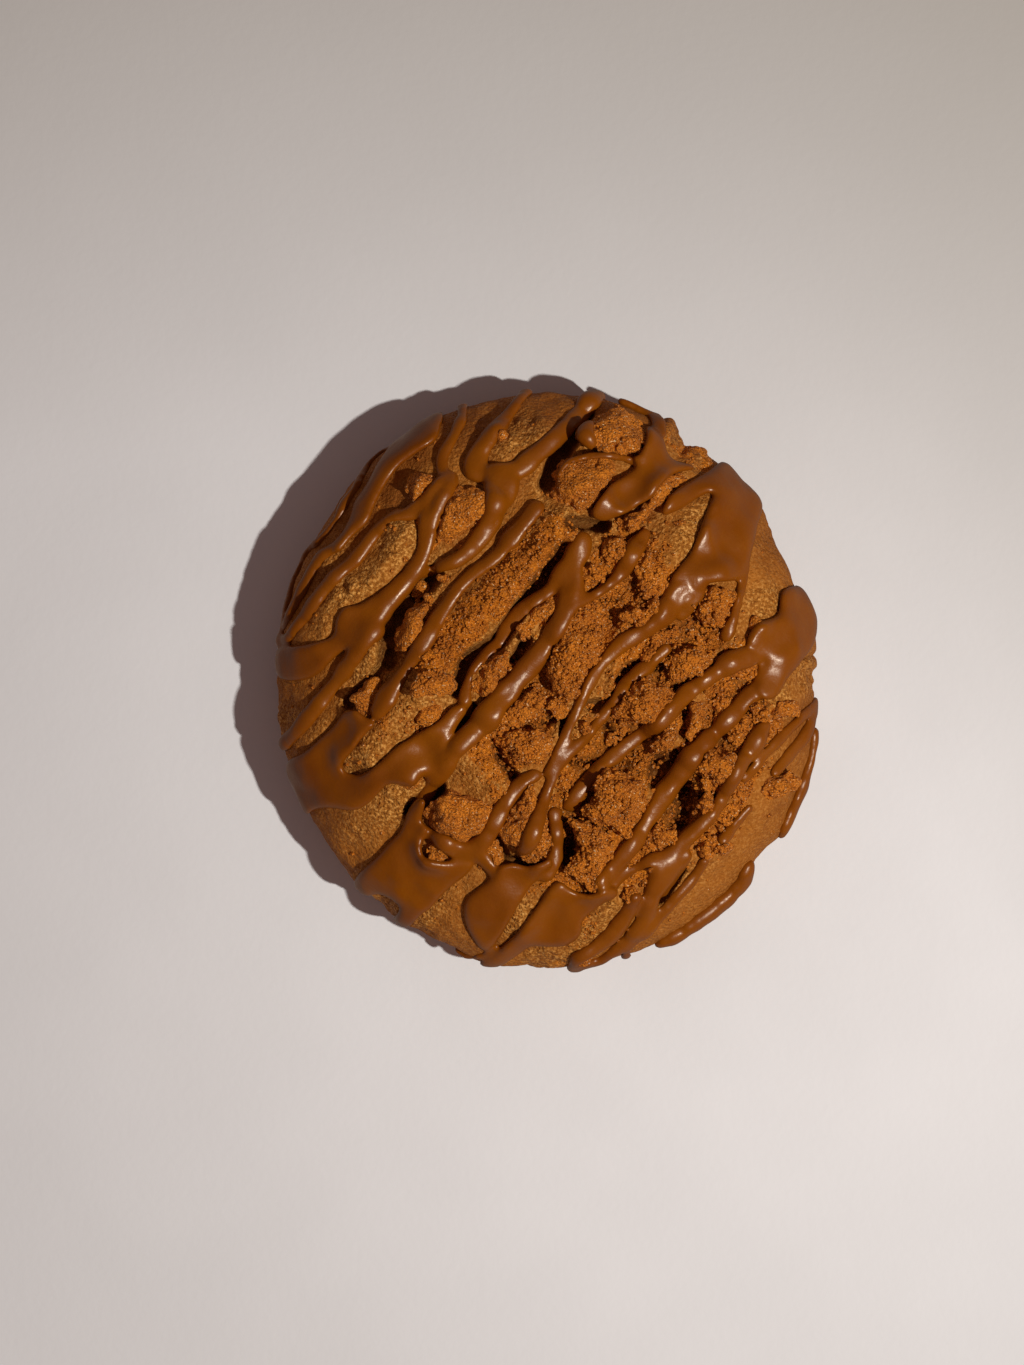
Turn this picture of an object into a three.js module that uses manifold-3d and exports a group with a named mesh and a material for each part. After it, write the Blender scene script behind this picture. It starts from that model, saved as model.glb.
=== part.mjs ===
// A thick, domed speculoos cookie: a mound of soft browned dough with a flat base, cracked and ridged
// on top, set with broken pieces of spiced biscuit and crossed by ribbons of caramel biscuit spread.
// The dough and its ribbons are one solid. Each broken piece of biscuit is a solid of its own, in a
// pocket of the dough, and carries its stretch of the ribbons that run over it.
// Millimetres. +X is the cookie's width, +Y its length, +Z up; z = 0 is the flat base it rests on.

import * as THREE from "three";
import { mergeVertices } from "three/addons/utils/BufferGeometryUtils.js";
import Module from "manifold-3d";

const wasm = await Module();
wasm.setup();

// Driving dimensions of the dough.
const COOKIE_WIDTH = 94;
const COOKIE_LENGTH = 100.6;
const DOUGH_HEIGHT = 29;
const BELLY_HEIGHT = 10; // where the side stands out furthest
const DOME_FULLNESS = 2.4; // 2 is an ellipse; more keeps the top flat for longer
const SIDE_ROWS = [ // below the belly: height, inset from the belly, share of the ribbons' runs
  [6, 0.5, 0.8],
  [2.6, 1.9, 0.35],
  [0.5, 3.6, 0],
  [0, 4.3, 0],
];
const OUTLINE_DENTS = [ // degrees round from +X, mm out (+) or in (-), spread in degrees
  [2, -0.8, 4],
  [32, -1.2, 14],
  [58, -1.4, 8],
  [222, -0.4, 12],
  [321, -0.8, 4],
  [330, 0.9, 14],
];
const DOUGH_ROUGHNESS = 0.45;

// Driving dimensions of the ribbons and of the biscuit pieces.
const RIBBON_SLOPE = 0.46; // a ribbon's height over its width
const RIBBON_MAX_HEIGHT = 2.2;
const CHUNK_SINK = 4.5; // how far a biscuit piece goes into the dough
const CHUNK_GAP = 0.35; // clear space round a biscuit piece, in its pocket
const CHUNK_ROUGHNESS = 0.5;
const CHUNK_HEADROOM = 30; // how far a pocket's cutter goes up
const SLOPE_SPAN = 3; // either side of a biscuit piece's middle, for the slope that it lies on
const CHUNK_CORNERS = 0.2; // 0 leaves a biscuit piece's outline sharp, 1 rounds it off

// Crumbs of biscuit stuck to the dough between the ribbons, the largest first.
const CRUMB_COUNT = 60;
const CRUMB_RADIUS = [2.5, 1.3];
const CRUMB_FIELD = { x: 11, y: -2, width: 56, length: 76 };
const CRUMB_TRIES = 4000;
const CRUMB_SPACING = 1.1; // over the sum of two crumbs' radii
const CRUMB_CLEARANCE = 0.8; // from a crumb to a larger piece's outline
const CRUMB_LIFT = 0.35; // of its radius, from the dough to a crumb's middle
const CRUMB_REACH = [0.55, 1.15]; // of its radius, from a crumb's middle to its corners

// Spacing of the surface's points.
const RIM_POINTS = 120;
const STATION = 2.5; // along a ribbon, ridge or crack
const FILL_STEP = 2.75;
const CURVE_STEP = 1.2; // for measuring the distance to a curve

// Ribbons of spread: x, y and width at the points that each one passes through.
const RIBBONS = [
  [[-19.6, 46.2, 3], [-24.5, 41, 5], [-29.7, 34.8, 3.6], [-35.3, 25, 3], [-37, 22.5, 2.5]],
  [[-31.5, 35, 2.2], [-35.8, 28.8, 2.4], [-43, 20.5, 2.4], [-46.2, 8, 2.4]],
  [[-36.8, 22.9, 2], [-41, 18.5, 2.8], [-46.2, 7.5, 2.2]],
  [[-24.8, 29, 2], [-31, 24, 3], [-39.5, 14, 3], [-44.8, 7.2, 2.6]],
  [[-18, 34.5, 4], [-21, 26, 3.2], [-24, 17.5, 4.5], [-31, 10.5, 5.5], [-38.5, 5.2, 6.5], [-47, 3.8, 3]],
  [[-30, 9, 4], [-35.5, 1, 3.4], [-41.5, -6.8, 3.2], [-46.6, -11.5, 3]],
  [[-15, 48.3, 2.4], [-15, 45.5, 2.4], [-18.7, 36, 2.6]],
  [[-4, 50.3, 2.8], [-9.5, 42.5, 3.5], [-13, 36, 4.5]],
  [[8, 50.2, 3], [3.5, 43.5, 3], [-2, 38, 3], [-7, 35.6, 4], [-12, 35.5, 3.5]],
  [[-7, 33, 4.5], [-9.5, 26.5, 4.5], [-15, 20.5, 3.5], [-21.5, 17.5, 2.5]],
  [[-0.5, 29.5, 4.5], [-6.5, 23.5, 3.8], [-15.5, 15.5, 2.8], [-22.5, 4.5, 3.8], [-30.5, -6, 3.8]],
  [[17, 43.5, 5], [17, 36, 7], [10, 29.8, 4.2], [8.6, 28, 3]],
  [[13.5, 49, 2.5], [19, 45.3, 2.6], [20.3, 42.5, 2.2]],
  [[7, 25.5, 5], [3, 18.5, 5], [-3.5, 12.5, 3.4], [-8, 6.8, 3.2], [-13.3, 1, 2.6], [-13.8, -5, 2.4]],
  [[4.5, 20, 4], [3, 11.5, 4.2], [-5.5, 0.5, 4.8], [-11, -6.5, 4.8], [-15.5, -11.5, 3.4],
    [-20.8, -18.5, 3], [-27, -31, 8], [-31.8, -36.2, 4]],
  [[3.8, 12.7, 2.5], [9.5, 15.7, 2.4], [14.5, 22, 3.5], [16.5, 25, 3]],
  [[20, 31.3, 2], [26, 34.5, 3.5], [32, 38.3, 2.6]],
  [[33.5, 35, 7], [30, 23, 9], [24, 15.5, 4.5], [13, 6.8, 3], [4.8, -3, 2.6], [-1.5, -15.5, 3]],
  [[34, 19.5, 2], [31.5, 11, 2.2], [30.5, 7.7, 2.2]],
  [[45.5, 15.5, 4], [42.5, 8, 9], [40.5, 2, 5], [34, -3.5, 3.6], [25, -12.5, 3.6], [17, -24, 3.6],
    [8.8, -34.5, 3]],
  [[41, 7, 6], [34, 3.8, 4], [25, -1.5, 3.2], [15.5, -9.5, 3.2], [3.8, -21, 3.2]],
  [[20, 5.3, 2.6], [13.8, -0.5, 2.8], [6, -10.2, 2.8], [-0.8, -20.5, 3.2], [-4.8, -29.3, 2.4]],
  [[1, -23, 2.8], [1, -30.5, 3], [-0.5, -33, 3.5]],
  [[-34, -7.5, 4], [-39.5, -14.5, 8], [-44.5, -20, 7]],
  [[-38, -18, 7], [-29, -17, 5], [-21, -10.5, 4], [-14.5, -4.2, 3]],
  [[-21, -33, 5], [-24, -39.5, 6], [-26.3, -43.3, 3]],
  [[-26, -33, 6], [-18, -33.5, 5], [-10.5, -26, 4]],
  [[-19, -27, 2.6], [-12, -28, 4.5], [-8, -22, 3], [-2.5, -16.3, 3]],
  [[-3.5, -32.5, 4], [-9, -38, 9], [-11.3, -46, 4.5]],
  [[8.5, -36, 5], [2, -40.5, 9], [-4, -45, 4.5], [-10.5, -49.7, 3]],
  [[36, -10, 3.4], [31, -18, 3], [22, -29, 3.4], [17.3, -36.8, 4]],
  [[14.5, -37, 3], [10.5, -44, 4], [5, -49.5, 2.6]],
  [[17.8, -38.5, 3.5], [12.5, -46, 3.4], [4, -50.6, 2.4]],
  [[10.5, -36, 3], [16, -31.8, 2.6], [19.5, -31, 3.5]],
  [[27, -31, 2.2], [22.5, -37.5, 2.6], [16.5, -44, 3]],
  [[35, -33.5, 2], [27.5, -41.2, 2.6], [19.8, -46, 2.2]],
  [[47, -4.2, 2.4], [41, -9, 2.6], [33.5, -17, 2.2]],
  [[47.2, -9.5, 2.2], [45.5, -17.5, 2.4], [41.6, -26.6, 2]],
  [[34.5, -22, 2.4], [30, -27.5, 2.2]],
];

// Ridges that push the dough up and cracks that part it: mm up or down, width, and points x, y.
const FOLDS = [
  [3, 12, [-33.5, -14.5], [-23, -2], [-10, 14], [2, 26]],
  [2.2, 8, [-29.5, 18.5], [-25.5, 25]],
  [1.6, 8, [-41, 7], [-36.5, 13], [-33, 16]],
  [1.8, 8, [-31, 1.5], [-29, 6]],
  [1.5, 13, [-37, -27], [-27, -20]],
  [2.6, 12, [-14, -13], [-9.5, -18]],
  [1.5, 9, [-8, 39.5], [-1, 44]],
  [1.5, 8, [28, 31], [20.5, 20]],
  [1.2, 6, [0.5, -35], [-7.5, -44]],
  [-5, 3.6, [-21, 16.5], [-26, 9.5], [-31.5, -1], [-34.5, -4]],
  [-6, 3.2, [2.5, 22], [-6.5, 11.5], [-14.5, 3.5], [-16, -1.5]],
  [-4, 3, [-0.3, 34], [4.5, 42.5], [6.5, 46]],
  [-5, 2.6, [-13.2, -5.2], [-15.5, -8.2]],
  [-4, 3, [-19, -18.5], [-23.5, -22.5]],
  [-4, 3, [3.2, -25], [3.5, -31]],
  [-5, 3.4, [23.5, -19], [22.5, -24]],
  [-3, 2.4, [19, -38], [23, -33]],
];

// Broken pieces of biscuit: how far each stands out of the dough, and its outline, anticlockwise.
const CHUNKS = [
  [3, [-15.5, 34], [-19, 28.5], [-19.8, 22.2], [-17.5, 22.3], [-10.5, 28.3], [-9.2, 31]],
  [2, [-22.8, 35.7], [-24.4, 33], [-22.8, 31.2], [-19.5, 34.5]],
  [4.6, [13.5, 47], [8, 45.2], [5, 42.3], [7, 39.7], [15.5, 39.3], [16.8, 43]],
  [3.6, [11.5, 37.9], [3.5, 37.6], [1.2, 31.5], [5, 28], [10, 33]],
  [3, [19.5, 35.2], [15, 29.8], [10.3, 27.2], [14.7, 25.2], [19, 29.5], [24, 35]],
  [3.6, [7, 14], [2.6, 11.6], [-0.8, 3], [0.4, -2], [4.5, -2.8], [9.5, 6.5], [10, 11]],
  [3, [-1.9, -1.2], [-6, -4], [-10, -7.6], [-3.4, -7.2], [-1, -4.6]],
  [2.6, [-1, -8.4], [-9.3, -9.7], [-8, -12], [-4.5, -15.3], [-1, -13.5], [0.8, -9.8]],
  [3, [-16.6, -19.6], [-21.3, -23], [-18, -26.4], [-12, -26.5], [-10.3, -23]],
  [4, [-3, -18.2], [-7, -21.8], [-8.4, -26.5], [-3.5, -31.3], [0, -28], [-2.2, -21.5]],
  [3.6, [9, -25.6], [3.6, -24.2], [5.8, -28.5], [3.2, -32.6], [8, -36], [10.8, -29]],
  [3, [9.7, -14.7], [8, -19.8], [6, -22.3], [13.3, -26.6], [16.6, -21], [15.5, -17.6]],
  [3.6, [17, 0], [13, -1.8], [11.5, -5.7], [17.5, -7.2], [21.3, -2.4]],
  [2.6, [26.4, -2.8], [23.8, -4.8], [24.2, -10.3], [27.4, -5.6]],
  [2.6, [22.4, -6.2], [18, -10], [16, -12.9], [21.7, -12.2]],
  [2.2, [24, 6], [20.2, 4.6], [21.6, 0.7], [27.3, 1.2], [27.5, 4]],
  [3, [28, 16], [25, 12.7], [26.4, 9.8], [29.8, 9.8], [32.2, 14]],
  [2.2, [43.2, -3.6], [38.2, -3.2], [38.4, -7], [43.6, -6.4]],
  [3.4, [31.5, -12.2], [27, -12.4], [25.7, -15.4], [31, -18.8], [33, -15.4]],
  [2.2, [-20.2, 13.2], [-24, 10.8], [-25.8, 5.4], [-22, 6.6]],
  [3, [-16.7, 0.6], [-21.4, 1.4], [-23.4, -2.2], [-16.7, -2.6]],
  [1.8, [-5.8, 4.8], [-9.4, 4.4], [-13.3, 0], [-13.2, -3.4], [-9.6, -1.4]],
  [1.8, [1.6, 14.2], [-1.8, 12.6], [-4.9, 9.4], [-4.2, 7.6], [0.4, 9.6]],
  [2.6, [8, 19.9], [4.9, 18.6], [5.8, 15.2], [9.4, 17.4]],
  [3.2, [12.6, 24.8], [9.4, 23.4], [10, 20.4], [13.6, 21.4]],
  [3, [17, 22.3], [14.2, 19.6], [16, 13.8], [20.3, 17.6]],
  [2.2, [15, 12.8], [12, 10.8], [14.2, 8.8], [17, 11]],
];

const DEGREES = Math.PI / 180;

// Every rough surface draws from this one seeded sequence.
let seed = 7;
function random() {
  seed = (seed * 16807) % 2147483647;
  return seed / 2147483647;
}

function smoothStep(low, high, value) {
  const t = Math.min(1, Math.max(0, (value - low) / (high - low)));
  return t * t * (3 - 2 * t);
}

// A gentle unevenness from crossed waves, between -1 and 1.
function waves(x, y, length) {
  const turn = (2 * Math.PI) / length;
  const first = Math.sin(turn * (x + 0.4 * y) + 1.3) * Math.cos(turn * (0.9 * y - 0.3 * x));
  const second = Math.sin(turn * 1.7 * (y - 0.6 * x) + 0.5) * Math.cos(turn * 1.5 * (x + 0.2 * y) + 2);
  return 0.6 * first + 0.4 * second;
}

// The outline at the belly, an ellipse with its dents, as a distance from the middle.
function outlineRadius(angle) {
  const across = Math.cos(angle) / (COOKIE_WIDTH / 2);
  const along = Math.sin(angle) / (COOKIE_LENGTH / 2);
  let radius = 1 / Math.hypot(across, along);
  for (const [at, amount, spread] of OUTLINE_DENTS) {
    const turned = angle / DEGREES - at;
    const off = turned - 360 * Math.round(turned / 360);
    radius += amount * Math.exp(-((off / spread) ** 2));
  }
  return radius;
}

// How far a point lies from the middle, as a share of the way to the outline.
function share(x, y) {
  return Math.hypot(x, y) / outlineRadius(Math.atan2(y, x));
}

function domeHeight(x, y) {
  const out = Math.min(1, share(x, y));
  return BELLY_HEIGHT + (DOUGH_HEIGHT - BELLY_HEIGHT) * Math.sqrt(1 - out ** DOME_FULLNESS);
}

// A curve through points x, y, width, as a chain of short segments.
function chain(points) {
  const curve = new THREE.CatmullRomCurve3(
    points.map(([x, y, width]) => new THREE.Vector3(x, y, width)),
    false,
    "centripetal",
  );
  return curve.getSpacedPoints(Math.ceil(curve.getLength() / CURVE_STEP));
}

// How far across a chain a point lies, 0 on its middle line and 1 at its edge, and the width there.
function across(links, x, y) {
  let best = { at: Infinity, width: 0 };
  for (let i = 1; i < links.length; i += 1) {
    const from = links[i - 1];
    const to = links[i];
    const dx = to.x - from.x;
    const dy = to.y - from.y;
    const t = ((x - from.x) * dx + (y - from.y) * dy) / (dx * dx + dy * dy || 1);
    const along = Math.min(1, Math.max(0, t));
    const width = from.z + (to.z - from.z) * along;
    const distance = Math.hypot(x - from.x - dx * along, y - from.y - dy * along);
    const at = distance / (width / 2);
    if (at < best.at) {
      best = { at, width };
    }
  }
  return best;
}

const ribbons = RIBBONS.map((points) => chain(points));
const folds = FOLDS.map(([rise, width, ...points]) => ({
  rise,
  width,
  links: chain(points.map(([x, y]) => [x, y, width])),
}));

// The height of the spread over what it lies on.
function ribbonHeight(x, y) {
  let height = 0;
  for (const links of ribbons) {
    const { at, width } = across(links, x, y);
    if (at < 1) {
      const crest = Math.min(RIBBON_MAX_HEIGHT, RIBBON_SLOPE * width);
      height = Math.max(height, crest * Math.sqrt(1 - at * at));
    }
  }
  return height;
}

// The height of the dough's ridges (+) or the depth of its cracks (-).
function foldHeight(x, y, sign) {
  let height = 0;
  for (const { rise, links } of folds) {
    if (Math.sign(rise) === sign) {
      const { at } = across(links, x, y);
      if (at < 1) {
        height += rise * (1 - at * at) ** 2;
      }
    }
  }
  return height;
}

// The dough with its ridges, before ribbons, cracks and small unevenness.
function doughHeight(x, y) {
  return domeHeight(x, y) + foldHeight(x, y, 1);
}

// A point of the top: it is lifted straight up in the middle, and straight out at the belly.
function topPoint(x, y) {
  const out = share(x, y);
  const spread = ribbonHeight(x, y);
  const bare = foldHeight(x, y, -1) + DOUGH_ROUGHNESS * (waves(x, y, 9) + waves(y, x, 5));
  const relief = spread > 0 ? spread : bare;
  const outward = smoothStep(0.86, 1, out);
  const point = new THREE.Vector3(x, y, 0).normalize().multiplyScalar(relief * outward);
  return point.add(new THREE.Vector3(x, y, doughHeight(x, y) + relief * (1 - outward)));
}

// Places a point in the plane where the dome is unrolled, so that its steep rim has room. A trace
// of unevenness keeps any four points off one circle.
function unroll(x, y) {
  const angle = Math.atan2(y, x);
  const out = (Math.asin(Math.min(1, share(x, y))) / (Math.PI / 2)) * (COOKIE_LENGTH / 2);
  const trace = 0.003 * (random() - 0.5);
  return [(out + trace) * Math.cos(angle), (out + trace) * Math.sin(angle)];
}

// Gathers the top's points: the rim, then crests, then edges, then a loose fill between them.
function gatherPoints() {
  const points = [];
  function offer(x, y, clearance) {
    const [u, v] = unroll(x, y);
    if (share(x, y) > 0.985 || points.some((p) => Math.hypot(p.u - u, p.v - v) < clearance)) {
      return;
    }
    points.push({ x, y, u, v });
  }
  for (let i = 0; i < RIM_POINTS; i += 1) {
    const angle = (2 * Math.PI * i) / RIM_POINTS;
    const radius = outlineRadius(angle);
    const [u, v] = unroll(radius * Math.cos(angle), radius * Math.sin(angle));
    points.push({ x: radius * Math.cos(angle), y: radius * Math.sin(angle), u, v });
  }
  const bands = [...ribbons, ...folds.filter(({ rise }) => rise < 0).map(({ links }) => links)];
  for (const [lanes, clearance] of [[[0], 1.1], [[-1.04, 1.04], 0.95], [[-0.55, 0.55], 0.95]]) {
    for (const links of bands) {
      const every = Math.max(1, Math.round(STATION / CURVE_STEP));
      for (let i = 0; i < links.length; i += every) {
        const ahead = links[Math.min(i + 1, links.length - 1)];
        const behind = links[Math.max(i - 1, 0)];
        const along = Math.hypot(ahead.x - behind.x, ahead.y - behind.y) || 1;
        for (const lane of lanes) {
          const offset = (lane * links[i].z) / 2;
          const x = links[i].x - (offset * (ahead.y - behind.y)) / along;
          const y = links[i].y + (offset * (ahead.x - behind.x)) / along;
          offer(x, y, clearance);
        }
      }
    }
  }
  const rows = Math.ceil(COOKIE_LENGTH / FILL_STEP);
  for (let row = -rows; row <= rows; row += 1) {
    for (let column = -rows; column <= rows; column += 1) {
      const x = (column + (row % 2) / 2 + 0.3 * (random() - 0.5)) * FILL_STEP;
      const y = (row * Math.sqrt(0.75) + 0.3 * (random() - 0.5)) * FILL_STEP;
      offer(x, y, 0.62 * FILL_STEP);
    }
  }
  return points;
}

// Delaunay triangles over points with u and v, by inserting them one at a time.
function triangulate(points) {
  const count = points.length;
  const far = 1e5;
  const all = [...points, { u: -far, v: -far }, { u: far, v: -far }, { u: 0, v: far }];
  function triangle(a, b, c) {
    const [p, q, r] = [all[a], all[b], all[c]];
    const d = 2 * (p.u * (q.v - r.v) + q.u * (r.v - p.v) + r.u * (p.v - q.v));
    const [pp, qq, rr] = [p, q, r].map(({ u, v }) => u * u + v * v);
    const u = (pp * (q.v - r.v) + qq * (r.v - p.v) + rr * (p.v - q.v)) / d;
    const v = (pp * (r.u - q.u) + qq * (p.u - r.u) + rr * (q.u - p.u)) / d;
    return { corners: [a, b, c], u, v, reach: Math.hypot(p.u - u, p.v - v) };
  }
  let triangles = [triangle(count, count + 1, count + 2)];
  for (let i = 0; i < count; i += 1) {
    const edges = new Map();
    const kept = [];
    for (const t of triangles) {
      if (Math.hypot(points[i].u - t.u, points[i].v - t.v) >= t.reach) {
        kept.push(t);
        continue;
      }
      for (let k = 0; k < 3; k += 1) {
        const [from, to] = [t.corners[k], t.corners[(k + 1) % 3]];
        if (!edges.delete(`${to},${from}`)) {
          edges.set(`${from},${to}`, [from, to]);
        }
      }
    }
    for (const [from, to] of edges.values()) {
      kept.push(triangle(from, to, i));
    }
    triangles = kept;
  }
  return triangles.map(({ corners }) => corners).filter((corners) => Math.max(...corners) < count);
}

function toSolid(positions, triangles) {
  const geometry = new THREE.BufferGeometry();
  geometry.setAttribute("position", new THREE.Float32BufferAttribute(positions, 3));
  geometry.setIndex(triangles.flat());
  const merged = mergeVertices(geometry, 1e-4);
  return new wasm.Manifold(new wasm.Mesh({
    numProp: 3,
    vertProperties: new Float32Array(merged.attributes.position.array),
    triVerts: new Uint32Array(merged.index.array),
  }));
}

// Closes rings of equal size into a solid: a fan below, bands between, a fan above.
function stackRings(below, rings, above) {
  const size = rings[0].length;
  const positions = [below, ...rings.flat(), above].flatMap((point) => point.toArray());
  const last = 1 + size * rings.length;
  const triangles = [];
  for (let i = 0; i < size; i += 1) {
    const next = (i + 1) % size;
    triangles.push([0, 1 + next, 1 + i]);
    triangles.push([last, last - size + i, last - size + next]);
    for (let ring = 1; ring < rings.length; ring += 1) {
      const low = 1 + size * (ring - 1);
      const high = low + size;
      triangles.push([low + i, low + next, high + next], [low + i, high + next, high + i]);
    }
  }
  return toSolid(positions, triangles);
}

// The dough with its ribbons: the triangulated top, the side below the belly and the flat base.
function makeDough() {
  const points = gatherPoints();
  const triangles = triangulate(points);
  const positions = points.flatMap(({ x, y }) => topPoint(x, y).toArray());
  for (const [z, inset, hold] of SIDE_ROWS) {
    for (const { x, y } of points.slice(0, RIM_POINTS)) {
      const radius = Math.hypot(x, y);
      const uneven = z > 0 ? DOUGH_ROUGHNESS * waves(x + z, y - z, 13) : 0;
      const reach = radius - inset + hold * ribbonHeight(x, y) + uneven * (1 - hold);
      positions.push((x / radius) * reach, (y / radius) * reach, z);
    }
  }
  const rowStarts = [0, ...SIDE_ROWS.map((_, row) => points.length + row * RIM_POINTS)];
  const baseCentre = positions.length / 3;
  positions.push(0, 0, 0);
  for (let i = 0; i < RIM_POINTS; i += 1) {
    const next = (i + 1) % RIM_POINTS;
    for (let row = 1; row < rowStarts.length; row += 1) {
      const [high, low] = [rowStarts[row - 1], rowStarts[row]];
      triangles.push([low + i, low + next, high + next], [low + i, high + next, high + i]);
    }
    const base = rowStarts.at(-1);
    triangles.push([baseCentre, base + next, base + i]);
  }
  return toSolid(positions, triangles);
}

// A biscuit piece's outline as an evenly spaced ring, and the sloping plane that it sits on.
function placeChunk([rise, ...outline]) {
  const corners = outline.map(([x, y]) => new THREE.Vector3(x, y, 0));
  const curve = new THREE.CatmullRomCurve3(corners, true, "catmullrom", CHUNK_CORNERS);
  const size = Math.min(18, Math.max(11, Math.round(curve.getLength() / 2.2)));
  const ring = curve.getSpacedPoints(size).slice(0, size);
  const centre = ring.reduce((sum, p) => sum.add(p), new THREE.Vector3()).divideScalar(size);
  const { x: cx, y: cy } = centre;
  const height = doughHeight(cx, cy);
  const slopeX = (doughHeight(cx + SLOPE_SPAN, cy) - doughHeight(cx - SLOPE_SPAN, cy)) / (2 * SLOPE_SPAN);
  const slopeY = (doughHeight(cx, cy + SLOPE_SPAN) - doughHeight(cx, cy - SLOPE_SPAN)) / (2 * SLOPE_SPAN);
  const plane = (x, y) => height + slopeX * (x - cx) + slopeY * (y - cy);
  return { rise, ring, centre, plane };
}

// One ring of a biscuit piece: its outline shrunk to a share, at a height over its plane.
function chunkRing({ ring, centre, plane }, part, lift, roughness, grow) {
  return ring.map((p, i) => {
    const ahead = ring[(i + 1) % ring.length];
    const behind = ring.at(i - 1);
    const side = new THREE.Vector3(ahead.y - behind.y, behind.x - ahead.x, 0).normalize();
    const inward = roughness * random();
    const point = centre.clone().lerp(p, part).addScaledVector(side, grow - inward * part);
    point.z = plane(point.x, point.y) + lift - inward;
    return point;
  });
}

// A biscuit piece: chamfered all round, rough, and raised where a ribbon runs over it.
function makeChunk(chunk) {
  const { centre, plane, rise } = chunk;
  const rough = CHUNK_ROUGHNESS;
  const rings = [
    chunkRing(chunk, 0.7, -CHUNK_SINK, 0, 0),
    chunkRing(chunk, 1, -0.5 * CHUNK_SINK, 0, 0),
    chunkRing(chunk, 1, 0.45 * rise, rough, 0),
    chunkRing(chunk, 0.8, 0.92 * rise, rough, 0),
    chunkRing(chunk, 0.4, rise, rough, 0),
  ];
  const bottom = new THREE.Vector3(centre.x, centre.y, plane(centre.x, centre.y) - CHUNK_SINK);
  const top = new THREE.Vector3(centre.x, centre.y, plane(centre.x, centre.y) + rise);
  for (const point of [...rings.slice(2).flat(), top]) {
    point.z += ribbonHeight(point.x, point.y);
  }
  return stackRings(bottom, rings, top);
}

// The space round and over a biscuit piece that the dough and its other pieces stay out of.
function makePocket(chunk) {
  const { centre, plane } = chunk;
  const depth = -CHUNK_SINK - CHUNK_GAP;
  const middle = chunkRing(chunk, 1, -0.5 * CHUNK_SINK, 0, CHUNK_GAP);
  const rings = [
    chunkRing(chunk, 0.7, depth, 0, CHUNK_GAP),
    middle,
    middle.map((point) => point.clone().setZ(point.z + CHUNK_HEADROOM)),
  ];
  const bottom = new THREE.Vector3(centre.x, centre.y, plane(centre.x, centre.y) + depth);
  const top = new THREE.Vector3(centre.x, centre.y, plane(centre.x, centre.y) + CHUNK_HEADROOM);
  return stackRings(bottom, rings, top);
}

// Crumbs, one after the other, each where a seeded draw finds bare dough clear of what is there.
function placeCrumbs(placed) {
  const { x: fieldX, y: fieldY, width, length } = CRUMB_FIELD;
  const crumbs = [];
  for (let i = 0; i < CRUMB_TRIES && crumbs.length < CRUMB_COUNT; i += 1) {
    const [u, v] = [2 * random() - 1, 2 * random() - 1];
    const [x, y] = [fieldX + (u * width) / 2, fieldY + (v * length) / 2];
    const radius = THREE.MathUtils.lerp(...CRUMB_RADIUS, crumbs.length / CRUMB_COUNT);
    const far = (p, clearance) => Math.hypot(p.x - x, p.y - y) > clearance;
    const bare = ribbonHeight(x, y) < 0.6 && foldHeight(x, y, -1) > -1;
    const apart = crumbs.every((crumb) => far(crumb, CRUMB_SPACING * (crumb.radius + radius)));
    const clear = placed.every(({ ring, centre }) => {
      const inner = Math.min(...ring.map((p) => p.distanceTo(centre)));
      return far(centre, inner) && ring.every((p) => far(p, radius + CRUMB_CLEARANCE));
    });
    if (Math.hypot(u, v) < 1 && bare && apart && clear) {
      crumbs.push({ x, y, radius });
    }
  }
  return crumbs;
}

// A crumb: a small lump with uneven corners, part sunk in the dough.
function makeCrumb({ x, y, radius }) {
  const lump = new THREE.IcosahedronGeometry(radius, 0);
  lump.deleteAttribute("normal");
  lump.deleteAttribute("uv");
  const merged = mergeVertices(lump.rotateX(random() * Math.PI).rotateZ(random() * Math.PI));
  const middle = topPoint(x, y).add(new THREE.Vector3(0, 0, CRUMB_LIFT * radius));
  const positions = [];
  for (let i = 0; i < merged.attributes.position.count; i += 1) {
    const corner = new THREE.Vector3().fromBufferAttribute(merged.attributes.position, i);
    const reach = THREE.MathUtils.lerp(...CRUMB_REACH, random());
    positions.push(...corner.multiplyScalar(reach).add(middle).toArray());
  }
  return toSolid(positions, [...merged.index.array]);
}

// Of what a cut leaves, the largest body.
function largest(solid) {
  return solid.decompose().reduce((best, body) => (body.volume() > best.volume() ? body : best));
}

function toMesh(name, solid, material) {
  const { vertProperties, triVerts } = solid.getMesh();
  const geometry = new THREE.BufferGeometry();
  geometry.setAttribute("position", new THREE.BufferAttribute(new Float32Array(vertProperties), 3));
  geometry.setIndex(new THREE.BufferAttribute(new Uint32Array(triVerts), 1));
  geometry.computeVertexNormals();
  const mesh = new THREE.Mesh(geometry, material);
  mesh.name = name;
  return mesh;
}

const group = new THREE.Group();
const placed = CHUNKS.map((chunk) => placeChunk(chunk));
const pockets = placed.map((chunk) => makePocket(chunk));

let dough = makeDough();
for (const crumb of placeCrumbs(placed)) {
  dough = dough.add(makeCrumb(crumb));
}
for (const pocket of pockets) {
  dough = dough.subtract(pocket);
}
const browned = new THREE.MeshStandardMaterial({ color: 0x9a5a26, roughness: 0.55, metalness: 0 });
group.add(toMesh("cookie", largest(dough), browned));

placed.forEach((chunk, index) => {
  let solid = makeChunk(chunk);
  for (const pocket of pockets.slice(0, index)) {
    solid = solid.subtract(pocket);
  }
  const biscuit = new THREE.MeshStandardMaterial({ color: 0xb5692a, roughness: 0.85, metalness: 0 });
  const name = `biscuit_piece_${String(index + 1).padStart(2, "0")}`;
  group.add(toMesh(name, largest(solid), biscuit));
});

export default group;
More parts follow.
